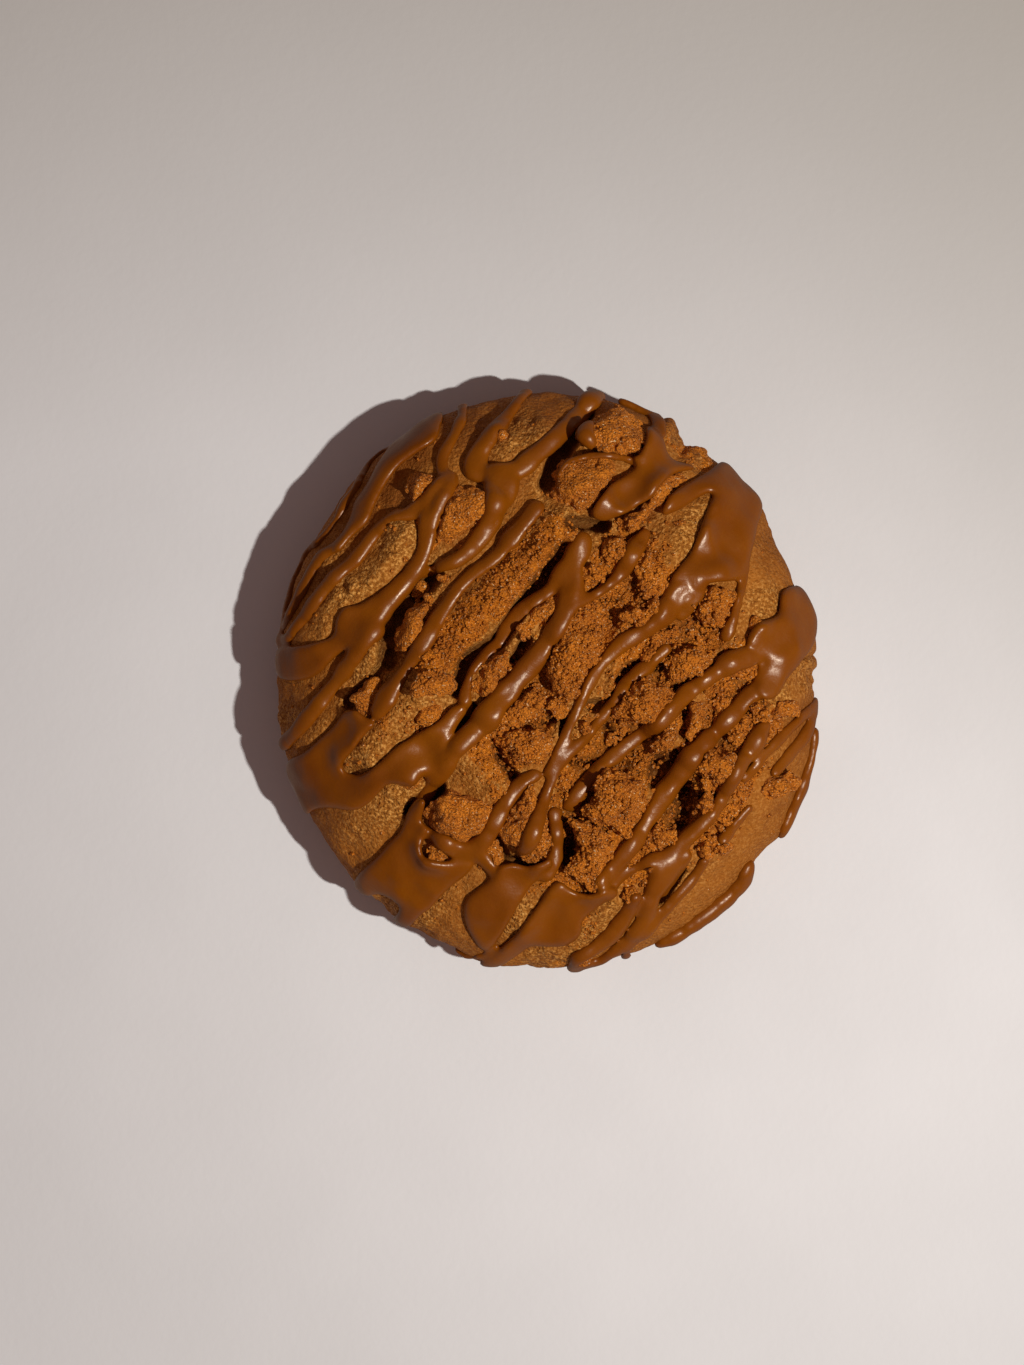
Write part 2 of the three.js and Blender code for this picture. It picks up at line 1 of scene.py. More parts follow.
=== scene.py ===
"""A thick, domed speculoos cookie on a pale floor, seen from straight above.

The dough, the broken pieces of biscuit, the crumbs, and the ribbons of spread are each worked out
as a surface and made into a mesh. Sizes are in millimetres until a mesh is made, and then in metres,
in the frame's own axes: +X across the cookie, +Y along it, +Z up, with z = 0 on the floor.
"""

import itertools
import math

import bpy
import numpy as np
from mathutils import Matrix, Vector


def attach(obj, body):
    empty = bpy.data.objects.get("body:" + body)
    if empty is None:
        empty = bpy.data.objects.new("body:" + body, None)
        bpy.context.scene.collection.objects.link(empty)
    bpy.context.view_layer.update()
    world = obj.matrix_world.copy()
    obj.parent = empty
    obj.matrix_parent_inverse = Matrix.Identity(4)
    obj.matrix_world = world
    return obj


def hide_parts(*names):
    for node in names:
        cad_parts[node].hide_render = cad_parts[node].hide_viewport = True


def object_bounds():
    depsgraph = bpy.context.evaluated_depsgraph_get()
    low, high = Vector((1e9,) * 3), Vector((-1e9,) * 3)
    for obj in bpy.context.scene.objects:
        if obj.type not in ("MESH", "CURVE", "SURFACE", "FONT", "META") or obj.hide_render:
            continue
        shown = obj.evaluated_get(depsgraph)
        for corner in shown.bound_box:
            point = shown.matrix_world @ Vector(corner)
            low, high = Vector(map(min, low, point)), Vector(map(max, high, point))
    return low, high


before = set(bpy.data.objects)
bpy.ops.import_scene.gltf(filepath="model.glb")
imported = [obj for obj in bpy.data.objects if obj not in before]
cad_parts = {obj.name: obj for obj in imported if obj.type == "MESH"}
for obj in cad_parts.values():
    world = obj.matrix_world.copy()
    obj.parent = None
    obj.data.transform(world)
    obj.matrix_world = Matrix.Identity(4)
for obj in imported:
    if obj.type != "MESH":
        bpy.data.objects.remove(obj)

import openvdb
from mathutils import Vector

CAD_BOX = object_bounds()
MM = 0.001
BODY = "root"

# ---- Driving sizes, as in the frame's model ----

COOKIE_WIDTH = 94.0
COOKIE_LENGTH = 100.6
DOUGH_HEIGHT = 29.0
BELLY_HEIGHT = 10.0  # where the cookie is widest
DOME_FULLNESS = 2.4
SIDE = [(BELLY_HEIGHT, 0), (6, 0.5), (2.6, 1.9), (0.5, 3.6), (0, 4.6)]  # height and inset
# Where the outline departs from an oval: degrees round from +X, mm out, and degrees across.
OUTLINE_DENTS = [
    (2, -0.8, 4), (32, -1.2, 14), (58, -1.4, 8), (222, -0.4, 12), (321, -0.8, 4), (330, 0.9, 14),
    (64.5, 1.6, 2), (59.8, -0.7, 1.2), (56.6, 0.8, 1.3), (3.5, 0.7, 1.2), (5.4, -0.7, 1),
]
RIBBON_SLOPE = 0.43  # a ribbon's height over its width
RIBBON_MAX_HEIGHT = 1.9
RIBBON_SPARE = 0.87  # what a ribbon's width is cut to, because joining and smoothing widen it
RIBBON_LIFT = 0.2  # the share of its height at which a ribbon is widest
POOL_HEIGHT = 1.6
POOL_EDGE = 1.5  # how far in from a pool's outline its rim is rounded
CHUNK_CORNERS = 0.2  # how loosely a piece's outline rounds its corners
SLOPE_SPAN = 3.0  # how far apart the dome's slope under a piece is measured
FAR = 99.0  # farther than anything that counts

# Ribbons of spread: x, y and width at the points that each one passes through.
RIBBONS = [
    [(-27.5, 42, 2), (-30, 39.6, 2.4), (-31.8, 36.8, 2.2), (-33.3, 33.5, 2.4), (-35.2, 30.6, 2.6),
     (-36.6, 28, 2.2), (-38.8, 25, 2.2), (-41.2, 22.8, 2.2), (-43.4, 19.8, 2.2), (-44.6, 16, 2),
     (-45.8, 11, 2), (-46.6, 7, 2)],
    [(-36.8, 22.9, 2), (-39.2, 21.2, 2.8), (-41, 18.5, 3), (-42.8, 15, 2.8), (-44.4, 12, 2.6),
     (-45.6, 9.4, 2.2)],
    [(-26, 28.6, 2.4), (-28, 27, 3), (-30.4, 24.6, 3.2), (-33, 21, 3.4), (-36.2, 18.2, 3.6),
     (-38.6, 15.6, 3.4), (-40.6, 12.8, 3.4), (-42.8, 10, 3.2), (-45, 7.2, 2.6)],
    [(-26, 28, 2.4), (-24, 28.5, 2.8), (-21.9, 29.6, 3.4), (-19.6, 31.4, 4)],
    [(-17, 34.4, 4), (-18.6, 31.4, 6), (-20, 28, 5.4), (-20.7, 24.7, 4), (-21.4, 21.8, 3.4),
     (-23, 18.8, 4), (-25, 16.4, 4.6), (-27.5, 13.8, 5), (-30, 11.3, 5.6), (-33, 9, 6)],
    [(-30, 8.6, 4.2), (-32.6, 5, 3.8), (-35, 1.8, 3.6), (-38.2, -2.4, 3.6), (-41.2, -6.2, 3.4),
     (-44, -9.4, 3.4), (-46, -11.3, 3)],
    [(-15, 48.3, 2.4), (-15, 45.5, 2.6), (-16.5, 42, 2.8), (-18.3, 38.5, 3), (-18.2, 35.5, 3)],
    [(-15.5, 48.5, 1.4), (-17.2, 48, 1.2), (-19.5, 46.9, 1.4)],
    [(-4, 50, 2.6), (-6.5, 46.5, 3.4), (-9.5, 42.5, 3.8), (-12, 38.8, 4.4), (-12.6, 36, 4.6),
     (-11, 34.9, 3.4)],
    [(8.6, 50.2, 3.8), (6, 46.8, 4.2), (3, 43.6, 4), (0.2, 40.8, 4), (-2.6, 38.4, 4),
     (-5, 36.2, 4.4), (-8.5, 35.3, 4.4), (-12, 35.5, 3.6)],
    [(-8, 33.4, 6.2), (-9.2, 29.8, 5.2), (-10.4, 26.6, 5), (-12.4, 23.5, 4.4), (-15, 21, 3.4),
     (-18, 19.6, 2.6), (-21.5, 18.6, 2.8)],
    [(-2.2, 29.2, 5), (-4.4, 26.4, 4.8), (-6.8, 23.4, 4), (-9.5, 20.5, 3.4), (-13, 18, 3.4),
     (-15.5, 15.5, 3.2), (-17.5, 12.5, 3.4), (-19.8, 8.8, 3.8), (-22.5, 4.5, 4.2),
     (-25.2, 0.6, 4.2), (-27.4, -3, 4.4), (-28.9, -5.3, 3.8)],
    [(7, 43.8, 2.8), (6.3, 42.3, 4.2), (7.2, 40.9, 3.2)],
    [(1.6, 33, 1.3), (2.2, 35.8, 1.6), (4.2, 37.7, 1.8), (8, 38.5, 1.8), (12.5, 38.3, 1.6),
     (14.8, 37.5, 1.6)],
    [(13.5, 49, 2.6), (16.5, 47.3, 3.2), (18.8, 45.3, 2.8), (19.8, 42.6, 2.4)],
    [(5.6, 23.6, 5), (4.8, 21.4, 5.6), (3, 18.5, 5), (0.5, 15.5, 4.2), (-3.5, 12.2, 3.8),
     (-7, 9.2, 3.8), (-8, 6.8, 3.4), (-10.6, 4.2, 3.2), (-13, 1.2, 3), (-14.2, -2.2, 2.8),
     (-14.2, -5, 2.6)],
    [(4.5, 20, 4.4), (4, 15.5, 4.6), (3, 11.8, 4.4), (0.8, 7.8, 4.6), (-2.5, 3.4, 4.8),
     (-5.5, 0, 5), (-8.2, -3.2, 5.4), (-10.4, -6.2, 5.4), (-12.6, -8.6, 4.2), (-15.5, -11.5, 4),
     (-18, -14.8, 4), (-20.8, -18.5, 3.6), (-22.6, -21.8, 4)],
    [(3.8, 12.7, 2.8), (6.5, 13.8, 2.2), (9.5, 15.7, 2.2), (12.3, 18.3, 3), (14.5, 22, 3.8),
     (16.5, 25, 3)],
    [(24.5, 17, 6), (22, 14.6, 6.5), (19.6, 11.6, 5.4), (17, 9, 3.8), (13, 6.6, 3.4),
     (10, 3.8, 3.2), (7.4, 0.4, 2.8), (5.9, -2.8, 2.6), (4.1, -6.8, 2.3), (2.1, -11.2, 2.5),
     (0.2, -15.6, 3)],
    [(26, 16.4, 3), (25.2, 14, 3.4), (22.6, 11.4, 3.4)],
    [(34, 19.5, 1.8), (33, 15, 1.9), (31.8, 11, 2.2), (30.6, 7.6, 2.8)],
    [(37, 2, 3), (36.4, -1, 3.4), (34, -3.4, 4), (31, -6.5, 4), (28, -9.5, 3.8), (25, -12.5, 4),
     (22.5, -16, 4), (19.5, -20, 4.4), (17, -24, 4), (14.5, -28, 4), (11.5, -31.5, 3.8),
     (8.8, -34.5, 3.4)],
    [(36.4, 4.6, 3.4), (34.2, 4, 4), (31.2, 3, 4.6), (28.6, 1.2, 3.8), (25, -1.3, 3.6),
     (22, -3.8, 3.8), (19, -7, 3.8), (15.5, -9.5, 3.6), (12.5, -11.8, 3.6), (9, -15, 3.4),
     (6, -18.2, 3.6), (3.8, -21, 3.6)],
    [(20, 5.3, 3), (17, 2.5, 3.2), (13.4, -0.8, 3), (11, -4, 2.6), (8.4, -7.2, 2.6), (6, -10, 3),
     (3.2, -12.6, 2.8), (1, -16, 2.6), (-0.8, -20.5, 3.4), (-2.2, -24.5, 3.6), (-3.5, -28, 3.2),
     (-4.8, -29.3, 2)],
    [(1, -23, 3.2), (1.3, -27, 3), (1, -30.5, 3.4), (-0.5, -33, 4)],
    [(-20.8, -26, 2.4), (-18.5, -27.2, 3.4), (-16, -28.6, 4.6), (-12.6, -28.8, 5), (-10.2, -26, 4),
     (-8.2, -22.4, 3.4), (-5.5, -18.5, 3.4), (-2.5, -16.3, 3.4)],
    [(-12, -29.2, 4.4), (-10.4, -31, 4), (-9, -32.8, 3.4)],
    [(-15.6, -48.2, 1.8), (-13.5, -48, 1.8), (-11, -47.6, 1.6), (-9, -46.3, 1.6)],
    [(36, -10, 3.6), (33.6, -13.5, 3.2), (31, -18, 3.2), (28.5, -22.5, 3.2), (25, -26, 3.4),
     (22, -29, 4), (20.2, -32, 5.4), (18.6, -35, 5), (17.4, -37.8, 4.6)],
    [(14.8, -37.4, 3.2), (13.2, -40.5, 4), (10.8, -43.8, 4), (7.8, -46.4, 3.4), (5, -48.2, 2.8)],
    [(17.6, -38.2, 3.8), (16, -42.2, 3.8), (13, -45.6, 3.6), (9.5, -48.2, 3.2), (5.5, -49.8, 2.6)],
    [(9.5, -36.4, 3.4), (12.6, -33.6, 2.8), (15.8, -31.8, 2.6), (19.5, -31, 4)],
    [(26.8, -31.2, 2.2), (24.8, -34.4, 2.8), (22, -37.6, 3), (19.2, -40.8, 3.2), (16.4, -44, 3),
     (13.6, -46.4, 2.6)],
    [(23.6, -30.2, 3), (22, -32.8, 3), (19.6, -36.4, 3)],
    [(34.8, -32.2, 3.2), (33.5, -35, 5.2), (30.8, -38.1, 5.6), (27, -41, 5.4), (23.1, -43.7, 5),
     (19.8, -45.5, 3.4)],
    [(46.4, -4.2, 2.4), (44, -6.3, 2.4), (41, -9, 2.6), (38, -12, 2.6), (35, -15.5, 2.6),
     (33.5, -17, 2)],
    [(46.4, -5.9, 2.2), (44.5, -9.5, 2.8), (41.5, -13, 2.8), (39, -16, 2.2)],
    [(46.4, -9.5, 2.6), (46.2, -13, 3.2), (44.8, -17.5, 3.6), (43.4, -21, 3.6), (41.6, -24.5, 3.4),
     (40.8, -26.6, 2.8)],
    [(37, -8, 3.2), (35, -11.5, 3.8), (33, -14, 2.8)],
    [(34.5, -22, 2.4), (32, -25, 2.6), (30, -27.5, 2.2)],
]

# Pools of spread: the height above the floor that each one runs down to, and its outline.
POOLS = [
    (3, (19.3, 28.2), (22.5, 29.2), (25, 30.9), (27.3, 32.3), (28.4, 32), (26.6, 27.6), (25.8, 25),
     (24.5, 22.2), (22.6, 19.6), (20.8, 17.4), (23, 16.6), (26, 16.6), (29, 17), (31.5, 17.2),
     (33.8, 18.2), (35.2, 23), (36, 25.8), (37.2, 28.8), (37.9, 31.5), (37.9, 33.7), (36.4, 35.3),
     (34.6, 35.4), (33.8, 37.3), (32, 38.8), (30.5, 38.3), (28, 36.4), (25, 34.6), (22, 32.8),
     (20.2, 31.2)),
    (4, (34, 6.2), (35.5, 9.2), (37.5, 10.4), (39.5, 11.5), (39.9, 14.5), (40.6, 15.8),
     (42.4, 16.5), (45.2, 16.7), (47, 15.2), (47.8, 13), (47.7, 10.5), (46.8, 7.8), (45.4, 5),
     (43.4, 2.4), (41.4, 0), (39.4, -2.6), (37, -3.2), (35.6, -1.4), (36.8, 0.6), (37.2, 3),
     (36.2, 4.6)),
    (5, (-35, -5.2), (-33, -5), (-31.3, -6.4), (-29.7, -7.5), (-31.2, -9.2), (-33.2, -11.8),
     (-35.3, -15), (-33, -16.1), (-30.5, -15), (-28, -12.8), (-25.6, -10.7), (-22, -8.9),
     (-19, -7.3), (-16.4, -4.6), (-14.4, -3.9), (-13.8, -5.4), (-16, -8.4), (-17.3, -11.4),
     (-17.4, -15.2), (-19.6, -16.4), (-21.6, -16.6), (-23.2, -18.4), (-27, -18), (-28.8, -19.3),
     (-31.2, -21.3), (-33.4, -22.3), (-38, -22.2), (-41, -22.8), (-42.6, -23.8), (-44, -21.2),
     (-45.6, -18.2), (-46.2, -15.6), (-45.2, -13.9), (-42.5, -12.3), (-39, -9.6), (-36.6, -7)),
    (4, (-22.8, -20.5), (-24.4, -22.8), (-25.4, -25.6), (-29, -30), (-32.8, -33.5), (-34, -35.6),
     (-33.8, -37.2), (-32.2, -38), (-30, -37.2), (-27.5, -37.7), (-25.7, -39.4), (-26.6, -41),
     (-28, -42.2), (-26.8, -43.4), (-24.6, -43), (-22.4, -41.1), (-19, -38), (-15.8, -34.8),
     (-13, -31.6), (-15.4, -30.7), (-18.5, -31), (-21.4, -30.4), (-21.4, -28), (-20.8, -25.6),
     (-22, -24), (-21.2, -20.6)),
    (6, (-9.5, -33.6), (-8.5, -32), (-6.3, -31.3), (-3.6, -32), (-1.2, -31), (0.4, -30),
     (0.8, -31.8), (-1.2, -33.4), (-3.2, -35.4), (-4.6, -38), (-7, -42), (-8.8, -45.4),
     (-10, -46.9), (-11.3, -47.1), (-12.6, -46), (-13.8, -43.4), (-14.8, -39.2), (-14.2, -37.5),
     (-12.4, -36.2), (-10.6, -34.8)),
    (5, (2, -34.5), (4.4, -36), (7.4, -36.6), (10.2, -35.4), (11.9, -36.2), (11.3, -37.7),
     (9, -38.8), (6.1, -41.3), (5.4, -44), (3.2, -45.8), (0, -46.2), (-3, -46.3), (-5.5, -48),
     (-7.4, -49.4), (-9.4, -50.4), (-11.6, -50.4), (-12.2, -49.3), (-10, -48), (-8, -46),
     (-5, -43), (-2, -38.7), (0, -36)),
    (0, (17, 43.8), (18.6, 43.7), (20, 41.6), (20.6, 39.3), (22.2, 37.9), (25.2, 37.3),
     (25.3, 36.5), (22, 35.9), (20.6, 35), (19.2, 33.4), (18, 31.2), (15.2, 29.7), (12, 27.9),
     (9.8, 27), (8, 27.4), (7.2, 28.6), (8.5, 31), (10.2, 33.2), (13, 34.8), (15, 36.8),
     (14, 38.4), (15.6, 39), (16.6, 41)),
    (4, (-30, 14), (-33, 13), (-35.3, 12.5), (-36.7, 10.2), (-37.4, 7.8), (-41, 6.6), (-44, 6),
     (-47, 5.6), (-48.4, 4.4), (-48.2, 2), (-46.6, 0.2), (-42.5, -0.2), (-39.6, 1), (-37.2, 3.4),
     (-34.8, 5.3), (-32.6, 5.5), (-30, 8), (-27.8, 11.5)),
    (5, (-18.2, 46.9), (-20, 47.3), (-22.2, 46.4), (-24.4, 44.5), (-26.4, 42.3), (-28.2, 40),
     (-30, 37.6), (-31.4, 35), (-32.6, 32.6), (-33.8, 30.4), (-34.8, 28.2), (-35.8, 26),
     (-37.6, 22.8), (-36, 21.9), (-33, 25.6), (-31.3, 27.6), (-30.2, 30), (-28.8, 32.8),
     (-27.2, 35.2), (-25.4, 37.2), (-21.8, 39.8), (-19.6, 41.6), (-18.8, 43.8)),
]

# Ridges that push the dough up: mm up, width, and points x, y.
RIDGE_LINES = [
    (3, 12, (-31.5, -12.5), (-28, -8.5), (-23, -2), (-17, 6), (-10, 14), (-3, 21), (2, 26)),
    (2.2, 8, (-29.5, 18.5), (-25.5, 25)),
    (1.6, 8, (-41, 7), (-36.5, 13), (-33, 16)),
    (1.8, 8, (-31, 1.5), (-29, 6)),
    (1.5, 13, (-37, -27), (-27, -20)),
    (2.6, 12, (-14, -13), (-9.5, -18)),
    (1.5, 9, (-8, 39.5), (-1, 44)),
    (1.5, 8, (28, 31), (20.5, 20)),
    (1.2, 6, (0.5, -35), (-7.5, -44)),
    (1.2, 5, (11, -38.5), (6.5, -44)),
    (1, 5, (-35.5, -4.5), (-41, -9.8)),
]

# Cracks that part the dough: mm down, width, and points x, y.
CRACK_LINES = [
    (4, 4, (-20, 18), (-23.5, 13.5), (-26.8, 8.5), (-27.8, 3.4)),
    (2.8, 2.6, (-27.8, 3.4), (-31, -0.4), (-34.5, -4)),
    (4.5, 3.2, (2.6, 22.4), (-1.2, 17.2), (-5.2, 11.8), (-9, 6.6), (-14, 3.2), (-15.6, -1.5)),
    (4, 3.4, (-0.3, 34), (1.8, 38.5), (4.5, 42.5), (6.5, 46)),
    (7, 3, (-13.2, -5.2), (-15.5, -8.2)),
    (5, 2.6, (3.6, 27), (6.6, 26.8), (9.4, 26.5)),
    (5, 2.2, (-5.8, 3.5), (-3.8, 6.8)),
    (4, 2, (-9, -10), (-8.5, -13), (-6, -16.5)),
    (5, 3, (-19, -18.5), (-23.5, -22.5)),
    (4, 1.8, (-8.5, -26), (-7.5, -30), (-3, -32)),
    (5, 3, (3.2, -25), (3.5, -31)),
    (7, 4, (23.5, -19), (22.5, -24)),
    (4, 2, (25, 1.5), (23, -1.2), (20, -1.8)),
    (3.5, 1.8, (23.4, -5), (22.7, -8), (24, -10.2)),
    (4, 1.8, (4, -13.6), (6, -14.2), (9.3, -14.2)),
    (3.5, 2, (10, -7.8), (12, -10.8)),
    (3.5, 2, (7, -4.2), (10.5, -4)),
    (3, 1.8, (28.2, 3), (30.5, 4.8)),
    (4, 2.2, (18, -13.5), (22.5, -12.5)),
    (3, 2, (19, -38), (23, -33)),
    (5, 2.6, (12.4, -0.4), (14.4, 2.2), (18.8, 2.6)),
    (4, 2, (11.5, -2.5), (10.2, -4.6), (7.4, -4.6)),
    (5, 3, (18.6, -14), (18.2, -17.4), (21, -14.6)),
    (4, 2.2, (25, -19.6), (28.6, -20.2)),
    (4, 2, (-1.6, -3), (-1, -7), (2.6, -5.6), (2.6, -9)),
]

# Wide hollows with soft sides, as the cracks are given.
HOLLOW_LINES = [
    (2.6, 13, (25, 8), (14, -8), (5, -24)),
    (2.4, 11, (34, 0), (27, -12), (18, -26)),
    (2.2, 9, (12, 16), (2, 2), (-4, -10)),
    (1.8, 7, (17, 28), (12, 22)),
]

# Broken pieces of biscuit, one for each biscuit_piece node: its rise out of the dough, its outline.
CHUNKS = [
    (3.4, (-15.5, 34), (-19, 28.5), (-19.8, 22.2), (-17.5, 22.3), (-10.5, 28.3), (-9.2, 31)),
    (4.2, (-22.4, 36.2), (-24.8, 33.4), (-23.2, 30.6), (-19.3, 34.3)),
    (5, (13.5, 47), (8, 45.2), (4.8, 42.8), (5.8, 39.8), (15.5, 39.3), (16.8, 43)),
    (4.4, (11.5, 37.9), (2.8, 37.7), (0.2, 31.6), (4.6, 27), (10, 32.4)),
    (4.6, (19.5, 35.2), (15, 29.8), (10.3, 27.2), (14.7, 25.2), (19, 29.5), (24, 35)),
    (3.8, (7, 14), (2.6, 11.6), (-0.8, 3), (0.4, -2), (4.5, -2.8), (9.5, 6.5), (10, 11)),
    (3, (-1.9, -1.2), (-6, -4), (-10, -7.6), (-3.4, -7.2), (-1, -4.6)),
    (2.6, (-1, -8.4), (-9.3, -9.7), (-8, -12), (-4.5, -15.3), (-1, -13.5), (0.8, -9.8)),
    (5, (-17.2, -18.2), (-21.5, -23), (-18, -26.7), (-11.8, -26.7), (-10.1, -22.6)),
    (4.2, (-3, -18.2), (-7, -21.8), (-8.4, -26.5), (-3.5, -31.3), (0, -28), (-2.2, -21.5)),
    (5, (9, -25.6), (3.6, -24.2), (5.8, -28.5), (3.2, -32.6), (8, -36), (10.8, -29)),
    (3.8, (9.7, -14.7), (8, -19.8), (6, -22.3), (13.3, -26.6), (16.6, -21), (15.5, -17.6)),
    (4.2, (17, 0), (13, -1.8), (11.5, -5.7), (17.5, -7.2), (21.3, -2.4)),
    (3.2, (26.4, -2.8), (23.8, -4.8), (24.2, -10.3), (27.4, -5.6)),
    (3, (22.4, -6.2), (18, -10), (16, -12.9), (21.7, -12.2)),
    (2.2, (24, 6), (20.2, 4.6), (21.6, 0.7), (27.3, 1.2), (27.5, 4)),
    (3.6, (28, 16), (25, 12.7), (26.4, 9.8), (29.8, 9.8), (32.2, 14)),
    (3, (43.2, -3.6), (38.2, -3.2), (38.4, -7), (43.6, -6.4)),
    (4.2, (31.5, -12.2), (27, -12.4), (25.7, -15.4), (31, -18.8), (33, -15.4)),
    (4.2, (-20.4, 13.8), (-24.6, 11.2), (-26.5, 5), (-22.4, 5.6)),
    (4.2, (-16.7, 0.6), (-21.4, 1.4), (-23.4, -2.2), (-16.7, -2.6)),
    (2.2, (-5.8, 4.8), (-9.4, 4.4), (-13.3, 0), (-13.2, -3.4), (-9.6, -1.4)),
    (1.8, (1.6, 14.2), (-1.8, 12.6), (-4.9, 9.4), (-4.2, 7.6), (0.4, 9.6)),
    (3.2, (8, 19.9), (4.9, 18.6), (5.8, 15.2), (9.4, 17.4)),
    (3.2, (12.6, 24.8), (9.4, 23.4), (10, 20.4), (13.6, 21.4)),
    (3.2, (17, 22.3), (14.2, 19.6), (16, 13.8), (20.3, 17.6)),
    (2.2, (15, 12.8), (12, 10.8), (14.2, 8.8), (17, 11)),
]

# Where crumbs lie thickly: x, y at each end of a stroke, its width, and crumbs in each square mm.
CRUMB_BEDS = [
    ((14, 20), (-8, -10), 12, 0.09),
    ((27, 12), (4, -28), 16, 0.12),
    ((35, 2), (16, -30), 12, 0.11),
    ((37, -8), (27, -27), 6, 0.14),
    ((24, 12), (17, 20), 8, 0.16),
    ((-16, 20), (-21, 12), 3, 0.16),
]

# Single crumbs that show: x, y and radius.
CRUMBS = [
    (-22.7, 27.3, 1.6), (1.6, -4.6, 1.8), (-19.5, -28.6, 2.4), (34.6, 1.4, 2.6), (36, -6, 2),
    (32, -9.8, 2), (27.3, -21.2, 2.1), (42, -17.2, 2.2), (39.4, -18, 2.5), (37.6, -19.4, 1.5),
    (20, -27, 2.5), (17.4, -27.4, 1.7), (27.2, -29.2, 2.4), (29.5, -28.6, 2), (31.4, 2.6, 2.2),
    (3, -17.8, 2), (-21, -6.2, 2.1), (-19.2, -6, 1.6), (-31.4, -4.2, 2.2), (-30.2, -2, 1.9),
    (-32.4, -5.8, 1.6), (33.6, -7.6, 1.6), (35, -12.4, 1.6), (36.6, -15.4, 1.4),
    (33.4, -20.4, 1.5), (31, -22.4, 1.7), (29, -24.6, 1.5), (25, -27.4, 1.4), (21.5, 8.5, 1.4),
    (-8.5, 42, 0.9), (-14.5, 21.8, 1.2), (-24, -13.5, 1), (-23.4, -16, 1.9), (-24.8, -14.4, 0.9),
    (14.4, -36.6, 1.5), (16, -35.6, 1.1), (6.6, -48.3, 1.7), (-9.6, -28.4, 1.2), (-9, -30.4, 1),
    (11.6, 23.2, 1.4), (39.4, 3.8, 1.3), (41.4, 5.4, 0.9), (-12, -32.2, 0.9), (22.2, 26.6, 1.3),
    (20.4, 26.8, 0.9), (-22, 15.4, 0.9), (26.2, 25, 0.8),
]

# Where fine crumbs dust the dough: x, y at each end of a stroke, its width, and how thickly.
DUSTINGS = [
    ((-20, 3), (1, 25), 7, 1), ((-11, -12), (-8, -19), 6, 0.7), ((24, 12), (15, 24), 8, 0.5),
    ((-33, -8), (-24, -7), 6, 0.35), ((22, 42), (27, 38), 4, 0.6), ((23, 10), (4, -30), 16, 0.9),
    ((34, 1), (18, -30), 12, 0.8), ((14, 20), (-8, -10), 12, 0.9), ((37, -8), (28, -27), 7, 0.7),
    ((6, -41), (8, -44), 3, 0.5), ((-2, -34), (-6, -40), 2, 0.3), ((14, -35), (15, -39), 3, 0.5),
]

# Where the dough's crust is torn and sandy: x, y and radius.
TORN = [
    (24.5, 40.5, 6), (44.5, 1.5, 5), (0.5, -48.5, 6), (-46, -7, 4), (38, -4.5, 6), (-35, 17, 7),
    (-26, 24, 5), (-33, -14, 6), (-30, 3, 6), (-25, -20, 6), (-24, -38, 7), (-31, -36, 5),
    (6, -42, 7), (-6, -40, 5), (38, 13, 5), (26, 25, 6), (-3, 44, 4), (-12, 30, 4), (20, -34, 4),
]

# Where shade is painted on the dough, darkening it, most of it on the upper-left slopes that face
# away from the light: x, y and radius.
SHADED_DOUGH = [
    (-29, 37, 6), (-24, 40.5, 6), (-34, 29, 5), (-26, 32, 4), (-40, 17, 4), (-14, 44, 6),
    (-2, 47, 6), (46, -8, 7),
]

# ---- Repeatable unevenness ----

CORNERS = list(itertools.product((0, 1), repeat=3))
NEIGHBOURS = list(itertools.product((-1, 0, 1), repeat=3))


def scatter(cell, seed):
    """A repeatable number from 0 to 1 for each whole-number place."""
    n = cell[0] * 374761393 + cell[1] * 668265263 + cell[2] * 362437 + seed * 1013904223
    n &= 0xFFFFFFFF
    n = ((n ^ (n >> 13)) * 1274126177) & 0xFFFFFFFF
    return (n ^ (n >> 16)).astype(np.float64) / 0xFFFFFFFF


def cloud(points, size, seed):
    """Soft noise from -1 to 1 whose swells are about size mm apart. points has 3 rows."""
    places = points / size
    cell = np.floor(places).astype(np.int64)
    part = places - cell
    part = part * part * (3 - 2 * part)
    total = 0
    for corner in CORNERS:
        weight = 1
        for axis in range(3):
            weight = weight * (part[axis] if corner[axis] else 1 - part[axis])
        total = total + weight * scatter([cell[axis] + corner[axis] for axis in range(3)], seed)
    return 2 * total - 1


def grains(points, size, seed):
    """The distance to the nearest of scattered centres about size mm apart, over size."""
    places = points / size
    cell = np.floor(places).astype(np.int64)
    nearest = np.full(points.shape[1], FAR)
    for shift in NEIGHBOURS:
        near = [cell[axis] + shift[axis] for axis in range(3)]
        away = sum(
            (near[axis] + scatter(near, seed + axis) - places[axis]) ** 2 for axis in range(3)
        )
        nearest = np.minimum(nearest, away)
    return np.sqrt(nearest)


def clouds(points, layers):
    """Soft noise in layers, each given by its depth in mm, its size and its seed."""
    return sum(depth * cloud(points, size, seed) for depth, size, seed in layers)


def smooth_step(low, high, value):
    """0 up to low, 1 from high on, and an even S between."""
    t = np.clip((value - low) / (high - low), 0, 1)
    return t * t * (3 - 2 * t)


# ---- Lines through points, and the cookie's outline and dome ----


